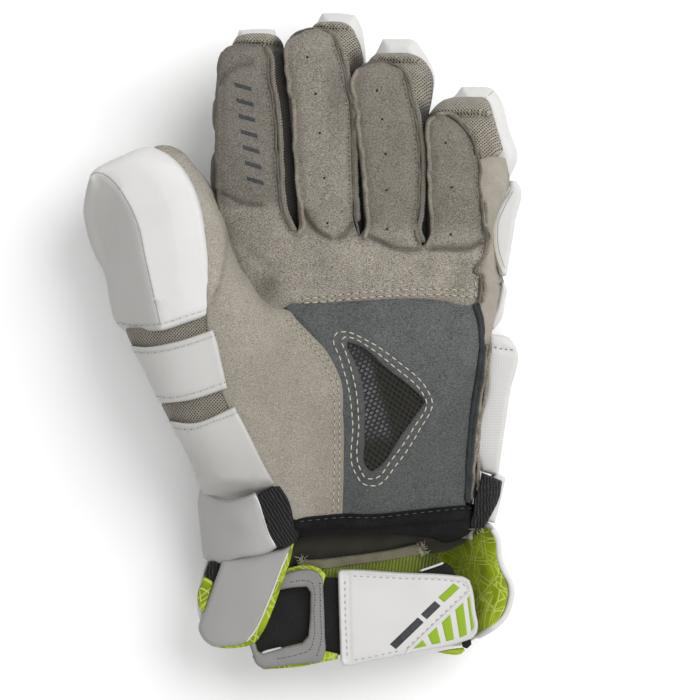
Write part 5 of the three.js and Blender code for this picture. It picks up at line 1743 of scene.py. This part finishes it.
# Painted shade: the flap is darkened a further 0.35 towards its shade colour.
pillow("cuff_flap", FLAP, flap_top, raised(flap_top, -3.6), WHITE_SHADED, "leather", 2.2, 1.0, 0.8, 1.2,
       replaces=["cuff_flap"], painted=0.35)
FLAP_RIM_ROWS = [[(288, 552), (281.5, 567), (268.5, 601), (251, 636), (246, 642)]]
piping("flap_rim", FLAP_RIM_ROWS, ["cuff_flap"], 0.6, -0.3, WHITE, "leather")
TAB = [
    (337.7, 573), (340, 570.5), (345, 570.3), (400, 573.2), (455, 576.2), (464, 577.5), (470, 581),
    (473, 590), (476, 612), (478.5, 627), (477.5, 633.5), (473, 638.5), (462.7, 643), (430, 650.5),
    (400, 656.5), (370, 662.5), (348, 667), (343, 666.8), (340.4, 662), (339, 615),
]
TAB_DIVIDER = [(404.5, 655.3), (422, 638), (448, 613.5), (470.5, 592.5)]
TAB_GROOVE = [(349.3, 574), (349.8, 615), (351.5, 663)]


def tab_rim(x, y, away):
    return 0.75 * np.exp(-((away - 1.0) / 0.9) ** 2) - 0.25 * np.exp(-((away - 2.6) / 0.5) ** 2)


tab_top = uneven(40.8, 0.16, 26, 109)
pillow("strap_tab", TAB, tab_top, 37.0, WHITE, "leather", 1.3, 0.8, 0.8, 1.0, replaces=["strap_tab"],
       grooves=[(TAB_GROOVE, 0.5, 0.35)], extra=tab_rim, closed_corner=26.0)
piping("tab_divider", [TAB_DIVIDER], ["strap_tab"], 0.95, -0.3, WHITE, "leather")
TAB_STITCHES_ROWS = [
    [(345, 580), (345.5, 615), (347.5, 658)],
    [(352, 576.5), (400, 579), (455, 582), (462, 583.5), (466.5, 588)],
    [(353, 661), (370, 658), (400, 651.5)],
    [(406, 650), (424, 633), (448, 610), (468, 591)],
]
stitches("tab_stitches", TAB_STITCHES_ROWS, ["strap_tab"], TAB_THREAD, "leather", 1.9, 3.2, 0.22)

# Plain slanted bars fill the corner beyond the divider, and a two-tone stripe runs along it
TAB_BARS = [
    [(413, 650), (423, 640.5), (427, 646.8), (417.5, 648.9)],
    [(428, 636), (437, 627.5), (441, 643.4), (432.5, 645.4)],
    [(442, 623), (450.5, 615), (454.5, 640), (446.5, 642)],
    [(455.5, 610.5), (463.5, 603), (467.5, 635.2), (460, 638.3)],
    [(467.5, 599), (470, 597), (474.5, 628), (471.8, 632)],
]
TAB_STRIPES = [
    ([(390, 645), (396, 650), (424, 623), (418, 618)], INK),
    ([(421, 615), (427, 620), (441, 606.5), (435, 601.5)], INK),
    ([(438.5, 598), (444.5, 603), (460, 588.5), (454, 583.8)], MOTIF),
]
TAB_MARKS = [(f"tab_bar_{number + 1}", bar, MOTIF) for number, bar in enumerate(TAB_BARS)]
TAB_MARKS += [(f"tab_stripe_{number + 1}", bar, look) for number, (bar, look) in enumerate(TAB_STRIPES)]
for name, bar, look in TAB_MARKS:
    mark(name, bar, tab_top, look, "lining", 0.22, 0.4, 15.0)

# Small ends that show round the cuff
CUFF_LEFT_ELASTIC = [(209, 562), (221, 561), (218, 572), (213, 583), (203.5, 575)]
pillow("cuff_left_elastic", CUFF_LEFT_ELASTIC, 43.4, 36.0, ELASTIC, "elastic", 1.0, 0.6, 0.8, 1.2)
CUFF_LEFT_LINING = [(203.5, 577), (214, 579), (210, 594), (203.5, 613.5), (198.5, 607), (197, 598)]
pillow("cuff_left_lining", CUFF_LEFT_LINING, 42.8, 34.0, GREEN, "lining", 1.3, 0.8, 0.8, 1.2)
TAB_END_LINING = [(438, 654), (452, 651), (464, 649.5), (466, 652.5), (462, 655.5), (448, 656)]
pillow("tab_end_lining", TAB_END_LINING, 36.0, 33.0, GREEN, "lining", 1.0, 0.8, 0.8, 1.0)


def fibres(name, at, count, reach, level, seed):
    """A frayed end: short curled threads."""
    rng = np.random.default_rng(seed)
    middle = mm([at])[0]
    parts = []
    for _ in range(count):
        start = middle + rng.uniform(-1, 1, 2) * reach
        angle = rng.uniform(0, 2 * math.pi)
        length = rng.uniform(1.2, 3.0)
        t = np.linspace(0, 1, 7)
        turn = angle + rng.uniform(-1.6, 1.6) * t
        xy = start + np.cumsum(np.column_stack([np.cos(turn), np.sin(turn)]) * length / 6, 0)
        z = level + rng.uniform(0, 0.6) + 0.8 * np.sin(t * math.pi) * rng.uniform(0.2, 1.0)
        parts.append(rope(np.column_stack([xy, z]), 0.11, 4, False))
    new_object(name, *gather(parts), BEIGE_THREAD, "liner")


fibres("band_frayed_end", (422, 550), 60, np.array([2.2, 1.8]), 34.0, 5)
fibres("elastic_frayed_end", (478, 528), 14, np.array([2.4, 0.7]), 44.6, 6)
fibres("band_frayed_left", (301, 562), 30, np.array([1.6, 1.4]), 34.0, 7)

# Stage, light and camera, in metres
FLOOR_REACH = 3
LIGHT_AIM = (0, 0, 0.04)
KEY_PLACE, KEY_SIZE, KEY_POWER = (1.0, 0.75, 1.45), 1.7, 28.5
FILL_PLACE, FILL_SIZE, FILL_POWER = (0.3, -1.2, 1.5), 1.3, 5.7
SKY_STRENGTH = 0.62
SENSOR_WIDTH = 36.0
CAMERA_HEIGHT = 1.7
SUBJECT_HEIGHT = 0.045

floor_mesh = bpy.data.meshes.new("floor")
corners = [(-FLOOR_REACH, -FLOOR_REACH), (FLOOR_REACH, -FLOOR_REACH), (FLOOR_REACH, FLOOR_REACH),
           (-FLOOR_REACH, FLOOR_REACH)]
floor_mesh.from_pydata([(*corner, 0) for corner in corners], [], [(0, 1, 2, 3)])
floor = bpy.data.objects.new("floor", floor_mesh)
bpy.context.scene.collection.objects.link(floor)
floor_look, _, floor_shader = material("pale_floor")
floor_shader.inputs["Base Color"].default_value = (0.98, 0.98, 0.98, 1)
floor_shader.inputs["Roughness"].default_value = 0.9
floor_mesh.materials.append(floor_look)
floor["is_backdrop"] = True


def area_light(name, place, size, power):
    data = bpy.data.lights.new(name, "AREA")
    data.shape = "DISK"
    data.size = size
    data.energy = power
    lamp = bpy.data.objects.new(name, data)
    lamp.location = place
    lamp.rotation_euler = (Vector(LIGHT_AIM) - Vector(place)).to_track_quat("-Z", "Y").to_euler()
    bpy.context.scene.collection.objects.link(lamp)


area_light("key", KEY_PLACE, KEY_SIZE, KEY_POWER)
area_light("fill", FILL_PLACE, FILL_SIZE, FILL_POWER)
world = bpy.data.worlds.new("studio")
world.use_nodes = True
sky = world.node_tree.nodes["Background"]
sky.inputs["Color"].default_value = (1, 1, 1, 1)
sky.inputs["Strength"].default_value = SKY_STRENGTH
bpy.context.scene.world = world
bpy.context.scene.view_settings.view_transform = "Standard"

middle = mm(PICTURE_MIDDLE) * MM
camera_data = bpy.data.cameras.new("camera")
camera_data.sensor_width = SENSOR_WIDTH
camera_data.lens = SENSOR_WIDTH * (CAMERA_HEIGHT - SUBJECT_HEIGHT) / (PICTURE_WIDTH_MM * MM)
camera = bpy.data.objects.new("camera", camera_data)
camera.location = (middle[0], middle[1], CAMERA_HEIGHT)
bpy.context.scene.collection.objects.link(camera)
bpy.context.scene.camera = camera

low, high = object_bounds()
